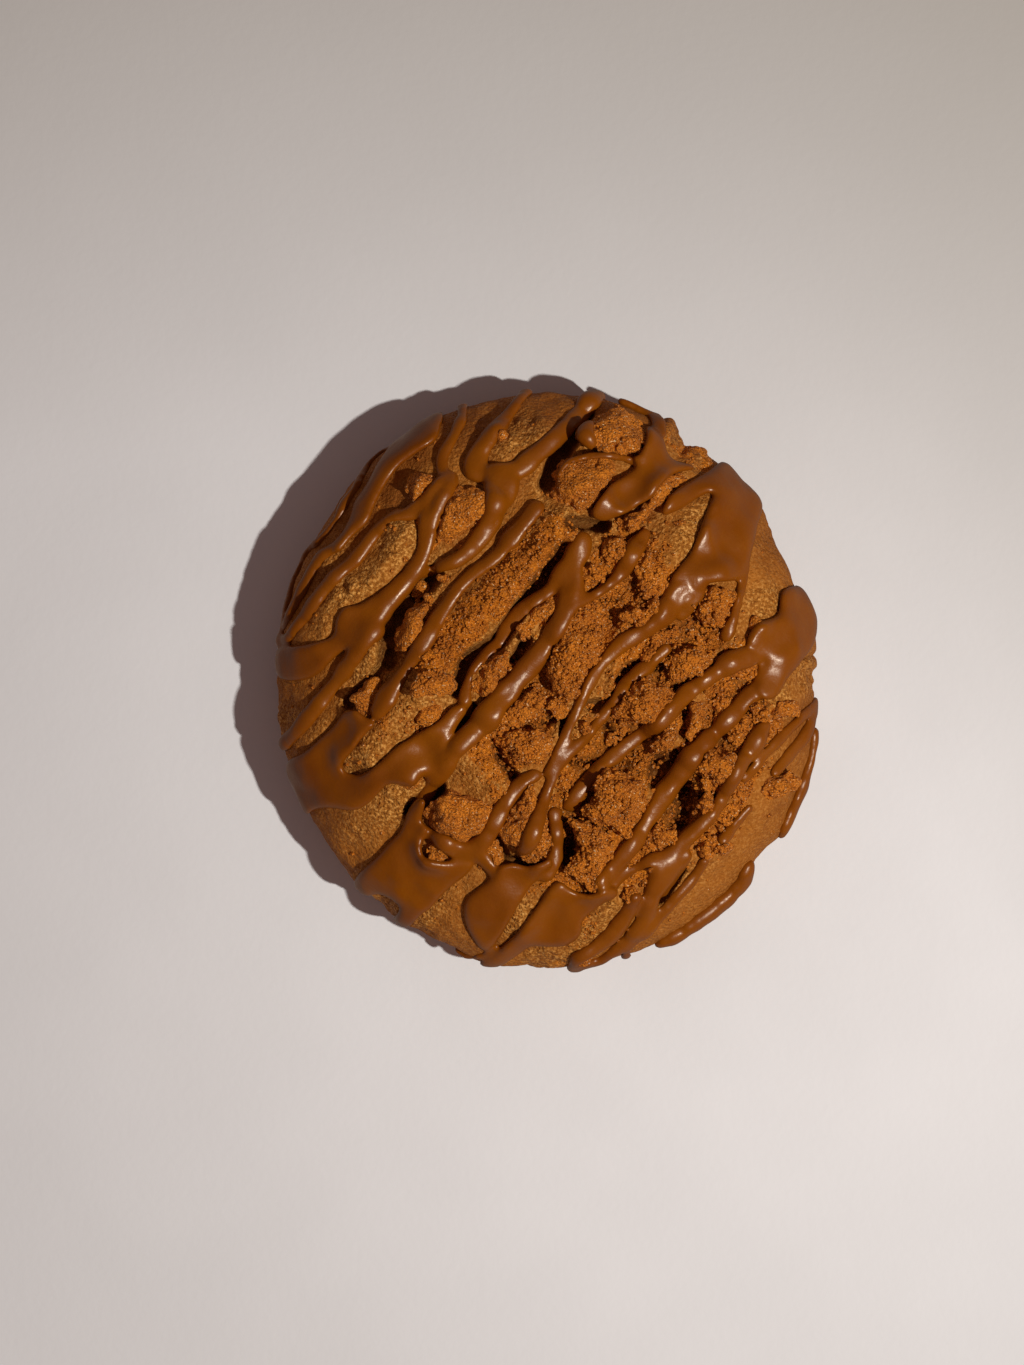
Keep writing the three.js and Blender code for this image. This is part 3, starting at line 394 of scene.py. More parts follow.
def spline(points, step, tension=0.5, closed=False):
    """Points about step mm apart on a smooth curve through the given ones."""
    given = np.array(points, float)
    count = len(given)
    if closed:
        knots = np.vstack([given[-1:], given, given[:2]])
    else:
        knots = np.vstack([2 * given[0] - given[1], given, 2 * given[-1] - given[-2]])
    out = []
    for i in range(count if closed else count - 1):
        before, start, end, after = knots[i : i + 4]
        pieces = max(1, math.ceil(np.linalg.norm((end - start)[:2]) / step))
        t = (np.arange(pieces) / pieces)[:, None]
        leave, arrive = tension * (end - before), tension * (after - start)
        out.append(
            (2 * t**3 - 3 * t**2 + 1) * start + (t**3 - 2 * t**2 + t) * leave
            + (3 * t**2 - 2 * t**3) * end + (t**3 - t**2) * arrive
        )
    if not closed:
        out.append(given[-1:])
    return np.vstack(out)


def lengths_along(path):
    """How far along a line of points each of them lies."""
    return np.concatenate([[0], np.cumsum(np.linalg.norm(np.diff(path, axis=0), axis=1))])


def outline_radius(angle):
    """The belly's outline, seen from above."""
    radius = 1 / np.hypot(np.cos(angle) / (COOKIE_WIDTH / 2), np.sin(angle) / (COOKIE_LENGTH / 2))
    for at, amount, spread in OUTLINE_DENTS:
        off = (np.degrees(angle) - at + 180) % 360 - 180
        radius = radius + amount * np.exp(-((off / spread) ** 2))
    return radius


def share(x, y):
    """How far a point lies from the middle, as a share of the way to the outline."""
    return np.hypot(x, y) / outline_radius(np.arctan2(y, x))


def dome_profile(out):
    """The dome's height at a share of the way to the outline."""
    return BELLY_HEIGHT + (DOUGH_HEIGHT - BELLY_HEIGHT) * np.sqrt(1 - out**DOME_FULLNESS)


def dome_height(x, y):
    return dome_profile(np.minimum(1, share(x, y)))


def near_segment(start, end, x, y):
    """The distance in plan from a segment, and how far along it, 0 to 1, the nearest point is."""
    run = end[:2] - start[:2]
    along = ((x - start[0]) * run[0] + (y - start[1]) * run[1]) / max(run @ run, 1e-9)
    along = np.clip(along, 0, 1)
    return np.hypot(x - start[0] - run[0] * along, y - start[1] - run[1] * along), along


def cuts(low, high, origin, step):
    """The slices of an even grid between two corners."""
    first = np.floor((np.array(low) - origin) / step).astype(int)
    last = np.ceil((np.array(high) - origin) / step).astype(int) + 1
    return tuple(slice(max(0, a), max(0, b)) for a, b in zip(first, last))


class Plan:
    """Values on an even grid over the cookie, seen from above."""

    STEP = 0.25
    HALF = 54.0
    AXIS = np.arange(-HALF, HALF + STEP / 2, STEP)
    X, Y = np.meshgrid(AXIS, AXIS, indexing="ij")

    @staticmethod
    def read(field, x, y):
        """The value of a field between its grid's points."""
        u = np.clip((np.asarray(x) + Plan.HALF) / Plan.STEP, 0, len(Plan.AXIS) - 1.001)
        v = np.clip((np.asarray(y) + Plan.HALF) / Plan.STEP, 0, len(Plan.AXIS) - 1.001)
        i, j = u.astype(int), v.astype(int)
        s, t = u - i, v - j
        low = field[i, j] * (1 - s) + field[i + 1, j] * s
        high = field[i, j + 1] * (1 - s) + field[i + 1, j + 1] * s
        return low * (1 - t) + high * t


def blur(field, spread, axes):
    """A field smoothed along its axes with a bell about spread samples wide."""
    reach = max(1, math.ceil(2.5 * spread))
    bell = np.exp(-0.5 * (np.arange(-reach, reach + 1) / spread) ** 2)
    bell = (bell / bell.sum()).astype(field.dtype)
    for axis in axes:
        margins = [(reach, reach) if a == axis else (0, 0) for a in range(field.ndim)]
        padded = np.pad(field, margins, "edge")
        total = np.zeros_like(field)
        for k, weight in enumerate(bell):
            cut = [slice(None)] * field.ndim
            cut[axis] = slice(k, k + field.shape[axis])
            total += weight * padded[tuple(cut)]
        field = total
    return field


def fold_section(width, points):
    """The section of a fold over the plan: 1 on its line, falling to 0 half a width away."""
    path = spline(points, 1.0)
    half = width / 2
    across = np.full_like(Plan.X, FAR)
    for start, end in zip(path[:-1], path[1:]):
        low, high = np.minimum(start, end) - half, np.maximum(start, end) + half
        part = cuts(low, high, -Plan.HALF, Plan.STEP)
        away, _ = near_segment(start, end, Plan.X[part], Plan.Y[part])
        across[part] = np.minimum(across[part], away / half)
    return np.clip(1 - across**2, 0, None)


def fold_fields():
    """The dough's ridges and its cracks, in mm up and in mm down, over the plan."""
    ridges = sum(rise * fold_section(width, line) ** 2 for rise, width, *line in RIDGE_LINES)
    cracks = np.zeros_like(Plan.X)
    for depth, width, *line in CRACK_LINES:
        cracks = np.maximum(cracks, depth * np.sqrt(fold_section(width, line)))
    for depth, width, *line in HOLLOW_LINES:
        cracks = np.maximum(cracks, depth * fold_section(width, line))
    return ridges, cracks


def painted(strokes, core, edge):
    """How thickly strokes lie, 0 to 1, over the plan: fully within core widths, not past edge."""
    total = np.zeros_like(Plan.X)
    for start, end, width, amount in strokes:
        away, _ = near_segment(np.array(start, float), np.array(end, float), Plan.X, Plan.Y)
        total = np.maximum(total, amount * (1 - smooth_step(core, edge, away / width)))
    return total


def patches(spots):
    """How far into round spots each place is, 0 to 1, over the plan."""
    return painted([((x, y), (x, y), radius, 1) for x, y, radius in spots], 0.5, 1.1)


CRACK_SPREAD = 1.6  # how far from a crack the dough beside it is torn

RIDGES, CRACKS = fold_fields()
TORN_PATCHES = patches(TORN)
# Painted shade: how far into the darkened dough patches each place is.
SHADED_DOUGH_PATCHES = patches(SHADED_DOUGH)
NEAR_CRACKS = blur(CRACKS, CRACK_SPREAD / Plan.STEP, (0, 1))
DUSTING = painted(DUSTINGS, 0.3, 0.65)


def dough_height(x, y):
    """The dough with its ridges, before cracks and small unevenness."""
    return dome_height(x, y) + Plan.read(RIDGES, x, y)


# ---- Meshes and blocks of samples ----


BOX_CLEARANCE = 0.02  # how far inside the frame's box every piece is kept


def make_piece(name, points, faces, material, slot, **weights):
    """A smooth-shaded mesh object from points in mm, with numbers per point for its material."""
    mesh = bpy.data.meshes.new(name)
    mesh.vertices.add(len(points))
    box_low = np.array(CAD_BOX[0]) / MM + BOX_CLEARANCE
    box_high = np.array(CAD_BOX[1]) / MM - BOX_CLEARANCE
    box_low[2] = 0
    points = np.clip(points, box_low, box_high)
    mesh.vertices.foreach_set("co", (np.asarray(points) * MM).astype(np.float32).ravel())
    sizes = np.array([len(part[0]) for part in faces for _ in range(len(part))])
    corners = np.concatenate([np.asarray(part).ravel() for part in faces])
    mesh.loops.add(len(corners))
    mesh.loops.foreach_set("vertex_index", corners.astype(np.int32))
    mesh.polygons.add(len(sizes))
    starts = np.concatenate([[0], np.cumsum(sizes)[:-1]])
    mesh.polygons.foreach_set("loop_start", starts.astype(np.int32))
    mesh.polygons.foreach_set("use_smooth", np.ones(len(sizes), bool))
    mesh.update(calc_edges=True)
    for key, values in weights.items():
        layer = mesh.attributes.new(key, "FLOAT", "POINT")
        layer.data.foreach_set("value", np.asarray(values, np.float32))
    mesh.materials.append(material)
    piece = bpy.data.objects.new(name, mesh)
    bpy.context.scene.collection.objects.link(piece)
    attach(piece, BODY)
    return piece


class Block:
    """A block of space in mm, sampled every step, whose fields are below 0 inside a body."""

    def __init__(self, low, high, step):
        self.low = np.array(low, float)
        self.step = step
        self.count = np.ceil((np.array(high) - self.low) / step).astype(int) + 1
        self.axes = [self.low[a] + step * np.arange(self.count[a]) for a in range(3)]
        self.x, self.y = np.meshgrid(self.axes[0], self.axes[1], indexing="ij")
        self.z = self.axes[2][None, None, :]

    def window(self, low, high):
        return cuts(low, high, self.low, self.step)

    def places(self, part):
        """The coordinates of a window's samples, ready to be combined."""
        x, y, z = (axis[cut] for axis, cut in zip(self.axes, part))
        return x[:, None, None], y[None, :, None], z[None, None, :]

    def roughen(self, field, band, change):
        """Adds change(points) where the field is within band mm of a surface."""
        near = np.nonzero(np.abs(field) < band)
        points = np.array([axis[i] for axis, i in zip(self.axes, near)])
        field[near] += change(points)

    def surface(self, field):
        """The points and four-cornered faces of the surface where the field is 0."""
        grid = openvdb.FloatGrid(float(self.step * 4))
        grid.copyFromArray(np.ascontiguousarray(field, np.float32))
        points, faces = grid.convertToQuads(0.0)
        return points * self.step + self.low, faces.astype(np.int64)[:, ::-1]

    def level_set(self, meshes, reach):
        """The distance to the joined bodies of some meshes, known up to reach samples away."""
        points, quads, first = [], [], 0
        for mesh_points, mesh_faces in meshes:
            points.append((mesh_points - self.low) / self.step)
            quads.append(mesh_faces + first)
            first += len(mesh_points)
        grid = openvdb.FloatGrid.createLevelSetFromPolygons(
            np.vstack(points).astype(np.float32),
            quads=np.vstack(quads).astype(np.uint32),
            transform=openvdb.createLinearTransform(voxelSize=1.0),
            halfWidth=float(reach),
        )
        out = np.full(self.count, float(reach), np.float32)
        grid.copyToArray(out, ijk=(0, 0, 0))
        return out * np.float32(self.step)

    def bridged(self, field, gap, reach):
        """The distance to a body whose gaps up to twice gap mm wide are filled."""
        grid = openvdb.FloatGrid(float(reach * self.step))
        grid.copyFromArray(np.ascontiguousarray(field, np.float32))
        points, faces = grid.convertToQuads(gap)
        grown = self.level_set([(points * self.step + self.low, faces.astype(np.int64))], reach)
        return grown + np.float32(gap)


# ---- Dough ----

DOUGH_CELLS = 290  # across the grid that the dough's shell is made from
PROFILE_SAMPLES = 120
DOUGH_RIM = 2.5  # how far above the floor the relief has its full depth
TOAST_TURN = 60  # degrees round from +X: the side whose rim is baked darkest
UNDERSIDE_RINGS = (0.97, 0.85, 0.6, 0.3)  # shares of the way in to the middle
UNDERSIDE_LIFT = 0.12
UNDERSIDE_MIDDLE = 0.1

DOUGH_SWELLS = [(0.55, 9, 1), (0.4, 4.2, 2), (0.2, 2.1, 3)]  # depth, size and seed of each layer


def side_profile():
    """The length along the surface from the top's middle, with share of radius, inset, height."""
    out = np.sin(np.linspace(0, math.pi / 2, PROFILE_SAMPLES))
    rows = np.column_stack([out, np.zeros_like(out), dome_profile(out)])
    side = spline(SIDE, 0.3, tension=0.4)[1:]
    rows = np.vstack([rows, np.column_stack([np.ones(len(side)), side[:, 1], side[:, 0]])])
    radius = (COOKIE_WIDTH + COOKIE_LENGTH) / 4
    return lengths_along(np.column_stack([rows[:, 0] * radius - rows[:, 1], rows[:, 2]])), rows


def dough_relief(points):
    """The dough's lumps and grain, in mm out, and how torn and how dusted it is, from 0 to 1."""
    x, y, _ = points
    ridge = smooth_step(0.3, 1.6, Plan.read(RIDGES, x, y))
    beside = smooth_step(0.0, 0.6, Plan.read(NEAR_CRACKS, x, y))
    patch = Plan.read(TORN_PATCHES, x, y)
    torn = 0.2 + 0.4 * ridge + 0.45 * beside + 0.4 * cloud(points, 7, 7)
    torn *= 1 - 0.75 * smooth_step(0.84, 0.97, share(x, y))
    torn = np.clip(torn + patch * (0.6 + 0.4 * cloud(points, 3, 12)), 0, 1)
    dusted = np.clip(1.5 * Plan.read(DUSTING, x, y) + 0.7 * cloud(points, 2.6, 9) - 0.3, 0, 1)
    crumble = 0.35 * cloud(points, 1.6, 4) + 0.35 * (0.5 - grains(points, 1.2, 5))
    specks = 1.1 * (0.5 - grains(points, 2.0, 10)) + 0.5 * (0.5 - grains(points, 1.0, 11))
    relief = clouds(points, DOUGH_SWELLS) + (0.25 + 1.1 * torn) * crumble + dusted * specks
    return relief, torn, dusted


def disc_grid(length):
    """A square grid bent to a disc: each point's angle, and its way along the surface."""
    line = np.linspace(-1, 1, DOUGH_CELLS + 1)
    a, b = np.meshgrid(line, line, indexing="ij")
    wide = np.abs(a) > np.abs(b)
    safe_a, safe_b = np.where(a == 0, 1, a), np.where(b == 0, 1, b)
    reach = np.where(wide, a, b)
    turn = np.where(wide, (math.pi / 4) * b / safe_a, math.pi / 2 - (math.pi / 4) * a / safe_b)
    u, v = reach * np.cos(turn), reach * np.sin(turn)
    return np.arctan2(v, u), np.hypot(u, v) * length


def close_underside(points, edge):
    """A shell closed below: all its points, the quads of its rings, and the fan in the middle."""
    after = np.roll(np.arange(len(edge)), -1)
    outer, quads = edge, []
    for inward in UNDERSIDE_RINGS:
        ring = points[edge] * (inward, inward, 0)
        ring[:, 2] = UNDERSIDE_LIFT * (1 + cloud(ring.T, 3, 6)) * (inward < 0.9)
        inner = len(points) + np.arange(len(edge))
        points = np.vstack([points, ring])
        quads.append(np.stack([outer, inner, inner[after], outer[after]], axis=-1))
        outer = inner
    points = np.vstack([points, [[0, 0, UNDERSIDE_MIDDLE]]])
    fan = np.stack([outer, np.full(len(outer), len(points) - 1), outer[after]], axis=-1)
    return points, quads, fan


def make_dough(material):
    """The mound of dough, and its points and faces for what lies on it."""
    length, rows = side_profile()
    angle, way = disc_grid(length[-1])
    part, inset, z = (np.interp(way, length, rows[:, k]) for k in range(3))
    radius = outline_radius(angle) * part - inset
    x, y = radius * np.cos(angle), radius * np.sin(angle)
    top = part < 1
    grid = np.stack([x, y, z], axis=-1)
    normal = np.cross(np.gradient(grid, axis=0), np.gradient(grid, axis=1))
    normal /= np.linalg.norm(normal, axis=-1, keepdims=True) + 1e-12
    flat = grid.reshape(-1, 3)
    relief, torn, dusted = (values.reshape(x.shape) for values in dough_relief(flat.T))
    crack = Plan.read(CRACKS, x, y) * top
    ragged = 1 + 0.35 * cloud(flat.T, 1.6, 8).reshape(x.shape)
    grid += normal * (relief * smooth_step(0, DOUGH_RIM, z))[..., None]
    grid[..., 2] += (Plan.read(RIDGES, x, y) - crack * ragged) * top
    grid[..., 2] = np.maximum(grid[..., 2], 0)
    index = np.arange(x.size).reshape(x.shape)
    corners = [index[:-1, :-1], index[1:, :-1], index[1:, 1:], index[:-1, 1:]]
    edge = np.concatenate([index[:-1, 0], index[-1, :-1], index[:0:-1, -1], index[0, :0:-1]])
    points, below, fan = close_underside(grid.reshape(-1, 3), edge)
    facing = 0.8 + 0.4 * np.cos(angle - math.radians(TOAST_TURN))
    toast_and_shade = smooth_step(0.8, 1.0, part) * facing * (0.75 - 0.3 * smooth_step(2, 9, z) * top)
    # Painted shade: the shaded patches darken the dough through the same layer as the rim's real
    # toasting.
    toast_and_shade = np.maximum(toast_and_shade, 0.85 * Plan.read(SHADED_DOUGH_PATCHES, x, y) * top)
    # The crack layer carries the cracks' depth, which the material turns into painted shade.
    layers = {"toast_and_shade": toast_and_shade, "crack_shade": crack, "torn": torn, "dusted": dusted * top}
    under = np.zeros(len(points) - x.size)
    layers = {key: np.concatenate([values.ravel(), under]) for key, values in layers.items()}
    quads = np.vstack([np.stack(corners, axis=-1).reshape(-1, 4), *below])
    piece = make_piece("dough", points, [quads, fan], material, "dough", **layers)
    return piece, (points, np.vstack([quads, np.column_stack([fan, fan[:, 2]])]))


# ---- Broken biscuit: large pieces and crumbs ----

BISCUIT_LUMPS = [(0.6, 5.5, 7), (0.75, 3, 0)]  # depth, size and seed, over the piece's own seed
CHUNK_STEP = 0.25  # between the samples that a piece is worked out on
CHUNK_SINK = 3.2  # how deep a piece goes into the dough
CHUNK_ROUND = 2.2  # the radius of its edges
CHUNK_MARGIN = 1.6  # the room left for its roughness
CHUNK_TILT = 0.1  # how far it may lean besides
CHUNK_BREAKS = 4  # flat breaks across its upper edges
BREAK_LEAN = (0.5, 1.0)
BREAK_REACH = (0.36, 0.5)  # shares of its size
BREAK_HEIGHT = 0.55  # the share of its rise
CHUNK_LEAN = 0.9  # how much of the dome's slope a piece's top follows
CHUNK_CROWN = 0.3  # the share of its rise that a piece loses at its edge


def outline_distance(ring, x, y):
    """The distance in plan from a closed outline, below 0 inside it."""
    away = np.full(x.shape, 99.0)
    inside = np.zeros(x.shape, bool)
    for start, end in zip(ring, np.roll(ring, -1, axis=0)):
        distance, _ = near_segment(start, end, x, y)
        away = np.minimum(away, distance)
        rises = (start[1] > y) != (end[1] > y)
        slope = (end[0] - start[0]) / (end[1] - start[1] if end[1] != start[1] else 1e-9)
        inside ^= rises & (x < start[0] + (y - start[1]) * slope)
    return np.where(inside, -away, away)


def biscuit_grain(points, seed):
    """What makes broken biscuit rough: lumps, grains and pores, in mm in."""
    lumps = clouds(points, [(depth, size, seed + more) for depth, size, more in BISCUIT_LUMPS])
    lumps += 1.1 * (grains(points, 2.1, seed + 1) - 0.5)
    grain = 0.42 * (grains(points, 1.05, seed + 2) - 0.45)
    grain += 0.3 * (grains(points, 0.62, seed + 3) - 0.45)
    pores = 0.7 * smooth_step(0.5, 0.75, cloud(points, 1.4, seed + 6))
    return lumps + grain + pores


def dough_slope(x, y):
    """How steeply the dough rises along x and along y."""
    gap = 2 * SLOPE_SPAN
    slope_x = (dough_height(x + SLOPE_SPAN, y) - dough_height(x - SLOPE_SPAN, y)) / gap
    slope_y = (dough_height(x, y + SLOPE_SPAN) - dough_height(x, y - SLOPE_SPAN)) / gap
    return slope_x, slope_y


def make_chunk(number, rise, outline, material):
    """A large piece of biscuit: a slab with round edges that leans with the dome, and breaks."""
    rng = np.random.default_rng(100 + number)
    ring = spline(outline, 0.6, CHUNK_CORNERS, closed=True)
    cx, cy = ring.mean(axis=0)
    height = dough_height(cx, cy)
    slope_x, slope_y = dough_slope(cx, cy)
    low, high = ring.min(axis=0) - CHUNK_MARGIN, ring.max(axis=0) + CHUNK_MARGIN
    drop = abs(slope_x) * (high[0] - low[0]) / 2 + abs(slope_y) * (high[1] - low[1]) / 2
    block = Block(
        (*low, height - drop - CHUNK_SINK - 1.2), (*high, height + drop + rise + CHUNK_MARGIN),
        CHUNK_STEP,
    )
    plane = height + slope_x * (block.x - cx) + slope_y * (block.y - cy)
    tilt_x, tilt_y = rng.uniform(-CHUNK_TILT, CHUNK_TILT, 2)
    lean_x, lean_y = slope_x * CHUNK_LEAN + tilt_x, slope_y * CHUNK_LEAN + tilt_y
    edge = outline_distance(ring, block.x, block.y)
    crown = 1 - CHUNK_CROWN * (1 - smooth_step(-0.5, 4, -edge))
    top = height + rise * crown + lean_x * (block.x - cx) + lean_y * (block.y - cy)
    middle, half = (top + plane - CHUNK_SINK) / 2, (top - plane + CHUNK_SINK) / 2
    rounding = min(CHUNK_ROUND, 0.5 * rise)
    flat = (edge + rounding)[:, :, None]
    upright = np.abs(block.z - middle[:, :, None]) - half[:, :, None] + rounding
    outer = np.sqrt(np.maximum(flat, 0) ** 2 + np.maximum(upright, 0) ** 2)
    field = outer + np.minimum(np.maximum(flat, upright), 0) - rounding
    size = np.sqrt(np.ptp(ring[:, 0]) * np.ptp(ring[:, 1]))
    for _ in range(CHUNK_BREAKS):
        turn, lean = rng.uniform(0, 2 * math.pi), rng.uniform(*BREAK_LEAN)
        reach = size * rng.uniform(*BREAK_REACH)
        sideways = (block.x - cx) * math.cos(turn) + (block.y - cy) * math.sin(turn) - reach
        over = block.z - plane[:, :, None] - BREAK_HEIGHT * rise
        field = np.maximum(field, sideways[:, :, None] * math.sin(lean) + over * math.cos(lean))
    block.roughen(field, CHUNK_MARGIN, lambda points: biscuit_grain(points, 10 * number))
    points, faces = block.surface(field)
    node = f"biscuit_piece_{number:02d}"
    piece = make_piece(f"biscuit_{number:02d}", points, [faces], material, "biscuit")
    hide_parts(node)
    return points, faces


CRUMB_STEP = 0.32
CRUMB_SIZES = (0.55, 1.6)  # radii
CRUMB_SPREAD = 3.4  # a bed's width over the scatter across it
CRUMB_EDGE = 0.93  # the share of the way to the rim beyond which no crumb is put at random
CRUMB_MARGIN = 1.3  # how near a crumb's surface its roughness is worked out
CRUMB_REACH = 1.4  # how far from its middle it goes, at most, as a share of its radius
CRUMB_FAR = 3.0  # the distance kept where no crumb is near
CRUMB_SINK = 0.9  # how far into a crack it falls
CRUMB_LIFT = 0.45  # the most that its middle stands over the dough, as a share of its radius
CRUMB_STRETCH = (0.75, 1.25)
CRUMB_FACETS = 4
CRUMB_FACET = 0.7  # the share of its radius at which each facet cuts it
DEEPEST_BED = 3  # mm: cracks deeper than this stay free of crumbs put at random
CRUMBS_LOW, CRUMBS_HIGH = (-50, -52, 6), (50, 52, 35.5)


def place_crumbs():
    """Crumbs' x, y and radius: single ones, and the beds filled at random."""
    rng = np.random.default_rng(5)
    crumbs = list(CRUMBS)
    for start, end, width, density in CRUMB_BEDS:
        start, end = np.array(start, float), np.array(end, float)
        count = int(density * (np.linalg.norm(end - start) + width) * width)
        along = rng.uniform(0, 1, count)[:, None]
        across = rng.normal(0, width / CRUMB_SPREAD, (count, 2))
        places = start + along * (end - start) + across
        small, large = CRUMB_SIZES
        radii = small + (large - small) * rng.uniform(0, 1, count) ** 1.6
        crumbs += [
            (x, y, r) for (x, y), r in zip(places, radii)
            if share(x, y) < CRUMB_EDGE and Plan.read(CRACKS, x, y) < DEEPEST_BED
        ]
    return crumbs


def make_crumbs(material):
    """All crumbs as one piece: uneven balls cut by flat facets."""
    rng = np.random.default_rng(6)
    block = Block(CRUMBS_LOW, CRUMBS_HIGH, CRUMB_STEP)
    field = np.full(block.count, CRUMB_FAR, np.float32)
    for x, y, radius in place_crumbs():
        floor = float(dough_height(x, y) - CRUMB_SINK * Plan.read(CRACKS, x, y))
        centre = np.array([x, y, floor + radius * rng.uniform(0, CRUMB_LIFT)])
        stretch = rng.uniform(*CRUMB_STRETCH, 3)
        turn = rng.uniform(0, math.pi)
        reach = CRUMB_REACH * radius
        part = block.window(centre - reach - 1, centre + reach + 1)
        px, py, pz = (axis - middle for axis, middle in zip(block.places(part), centre))
        across = px * math.cos(turn) + py * math.sin(turn)
        along = py * math.cos(turn) - px * math.sin(turn)
        body = np.sqrt(
            (across / stretch[0]) ** 2 + (along / stretch[1]) ** 2 + (pz / stretch[2]) ** 2
        ) - radius
        for facing in rng.normal(0, 1, (CRUMB_FACETS, 3)):
            facing /= np.linalg.norm(facing)
            cutting = px * facing[0] + py * facing[1] + pz * facing[2] - CRUMB_FACET * radius
            body = np.maximum(body, cutting)
        field[part] = np.minimum(field[part], body)
    block.roughen(field, CRUMB_MARGIN, lambda points: biscuit_grain(points, 900))
    points, faces = block.surface(field)
    make_piece("crumbs", points, [faces], material, "biscuit")
    return points, faces


# ---- Spread ----

RIBBON_UNEVEN = [(0.22, 4.6, 70), (0.16, 2.2, 73)]  # share of the width, size and seed
RIBBON_FLAT = (3.5, 6)  # the widths between which its section goes from round to flat
SECTION_STEP = 0.7  # between the points of a ribbon's middle line
LINE_STEP = 0.25  # between those that it is laid on the dough with
SPREAD_STEP = 0.36
SPREAD_SINK = 0.8  # how far the spread goes into what it lies on
SPREAD_JOIN = 0.6  # how widely two ribbons run together
RIBBON_BRIDGE = 1.1  # half the widest gap that a ribbon runs across
POOL_BRIDGE = 4.4
SPREAD_REACH = 14  # samples around the cookie's surface that the spread is worked out in
SPREAD_TRIANGLES = 190_000
RUN_RANGE = (1.5, 5.5)  # how far a ribbon that reaches the rim runs down the side
RUN_OUTWARD = 0.24  # how squarely a ribbon has to meet the rim to run down
RUN_FROM = 0.93  # the share of the way to the rim from which it does
RUN_STEP = 0.3
RUN_TAPER = 0.35
RUN_WIDTH = 2.5  # the width of a ribbon that runs as far as RUN_RANGE says
RUN_MOST = 1.4  # how many times as far a wide one may run
RUN_TO_RIM = 12  # mm of run over the rim for each whole share that is left
SOFT_RIBBON, SOFT_POOL = 1.1, 1.4  # samples that the shape under each is smoothed over
SOFT_HEIGHT, SOFT_SPREAD = 1.5, 0.8
SPREAD_FAR = 4.0  # the distance kept where no ribbon or pool is near
POOL_THIN = 0.35  # how much lower a pool is at the rim
POOL_TOP = 37  # mm: over all of them
SPREAD_LOW, SPREAD_HIGH = (-51, -54, -3), (51, 54, 37.5)


def surface_heights(block, support):
    """The height of the top of what the spread lies on, over the plan."""
    inside = support < 0
    top = inside.shape[2] - 1 - np.argmax(inside[:, :, ::-1], axis=2)
    found = inside.any(axis=2)
    return np.where(found, block.low[2] + block.step * (top + 0.5), BELLY_HEIGHT)


def side_inset(z):
    """How far inside the belly's outline the side is at a height."""
    heights, insets = zip(*SIDE)
    return float(np.interp(-z, [-height for height in heights], insets))


def run_down(end, inner, rng):
    """What a ribbon whose end meets the rim adds down the side: x, y, z and width."""
    x, y, width = end
    course = (end - inner)[:2]
    outward = (x * course[0] + y * course[1]) / (math.hypot(x, y) * np.linalg.norm(course))
    if share(x, y) < RUN_FROM or outward < RUN_OUTWARD:
        return np.zeros((0, 4))
    heading = end[:2] + 0.5 * course / np.linalg.norm(course)
    angle = math.atan2(heading[1], heading[0])
    run = rng.uniform(*RUN_RANGE) * min(RUN_MOST, width / RUN_WIDTH)
    to_rim = max(0.0, (1 - share(x, y))) * RUN_TO_RIM
    rows = []
    for step in np.arange(RUN_STEP, to_rim + run, RUN_STEP):
        if step < to_rim:
            t = step / to_rim
            part = share(x, y) + (1 - share(x, y)) * math.sin(t * math.pi / 2)
            radius = outline_radius(angle) * part
            z = float(dome_height(radius * math.cos(angle), radius * math.sin(angle)))
            size = width
        else:
            down = step - to_rim
            z = BELLY_HEIGHT - down
            radius = outline_radius(angle) - side_inset(z)
            size = width * (1 - RUN_TAPER * down / run)
        rows.append((radius * math.cos(angle), radius * math.sin(angle), z, size))
    return np.array(rows).reshape(-1, 4)


def drape(points, block, heights, rng):
    """A ribbon's middle line laid over the cookie and down its side: x, y, z and width."""
    line = spline(points, LINE_STEP)
    before = run_down(line[0], line[4], rng)
    after = run_down(line[-1], line[-5], rng)
    u, v = (
        np.clip(((line[:, k] - block.low[k]) / block.step).astype(int), 0, block.count[k] - 1)
        for k in range(2)
    )
    top = np.column_stack([line[:, 0], line[:, 1], heights[u, v], line[:, 2]])
    path = np.vstack([before[::-1], top, after])
    length = lengths_along(path[:, :3])
    steps = np.linspace(0, length[-1], max(3, int(length[-1] / SECTION_STEP)))
    path = np.column_stack([np.interp(steps, length, path[:, k]) for k in range(4)])
    path[:, 3] *= RIBBON_SPARE * (1 + clouds(path[:, :3].T, RIBBON_UNEVEN))
    return path


def round_over(over, tall):
    """A rounded section's height over its support: 0 where it is widest and 1 at its top."""
    lift = RIBBON_LIFT * tall
    return (over - lift) / (tall - lift)


def pool_field(block, support, drop, outline):
    """How far points are from a pool's surface, in the window of the block that holds it."""
    ring = spline(outline, 1.0, closed=True)
    part = block.window((*(ring.min(axis=0) - 2), -1), (*(ring.max(axis=0) + 2), POOL_TOP))
    x, y = block.x[part[:2]], block.y[part[:2]]
    flat_points = np.array([x.ravel(), y.ravel(), np.zeros(x.size)])
    edge = outline_distance(ring, x, y) + 0.3 * cloud(flat_points, 3.5, 71).reshape(x.shape)
    low = drop + 2.2 * cloud(flat_points, 5, 72).reshape(x.shape)
    inward = np.maximum(edge + POOL_EDGE, 0)[:, :, None] / POOL_EDGE
    under = np.maximum(low[:, :, None] + POOL_EDGE - block.z[:, :, part[2]], 0) / POOL_EDGE
    tall = POOL_HEIGHT * (1 - POOL_THIN * smooth_step(0.93, 1.02, share(x, y)))[:, :, None]
    value = np.sqrt(inward**2 + under**2 + round_over(support[part], tall) ** 2) - 1
    return part, (value * POOL_EDGE).astype(np.float32)


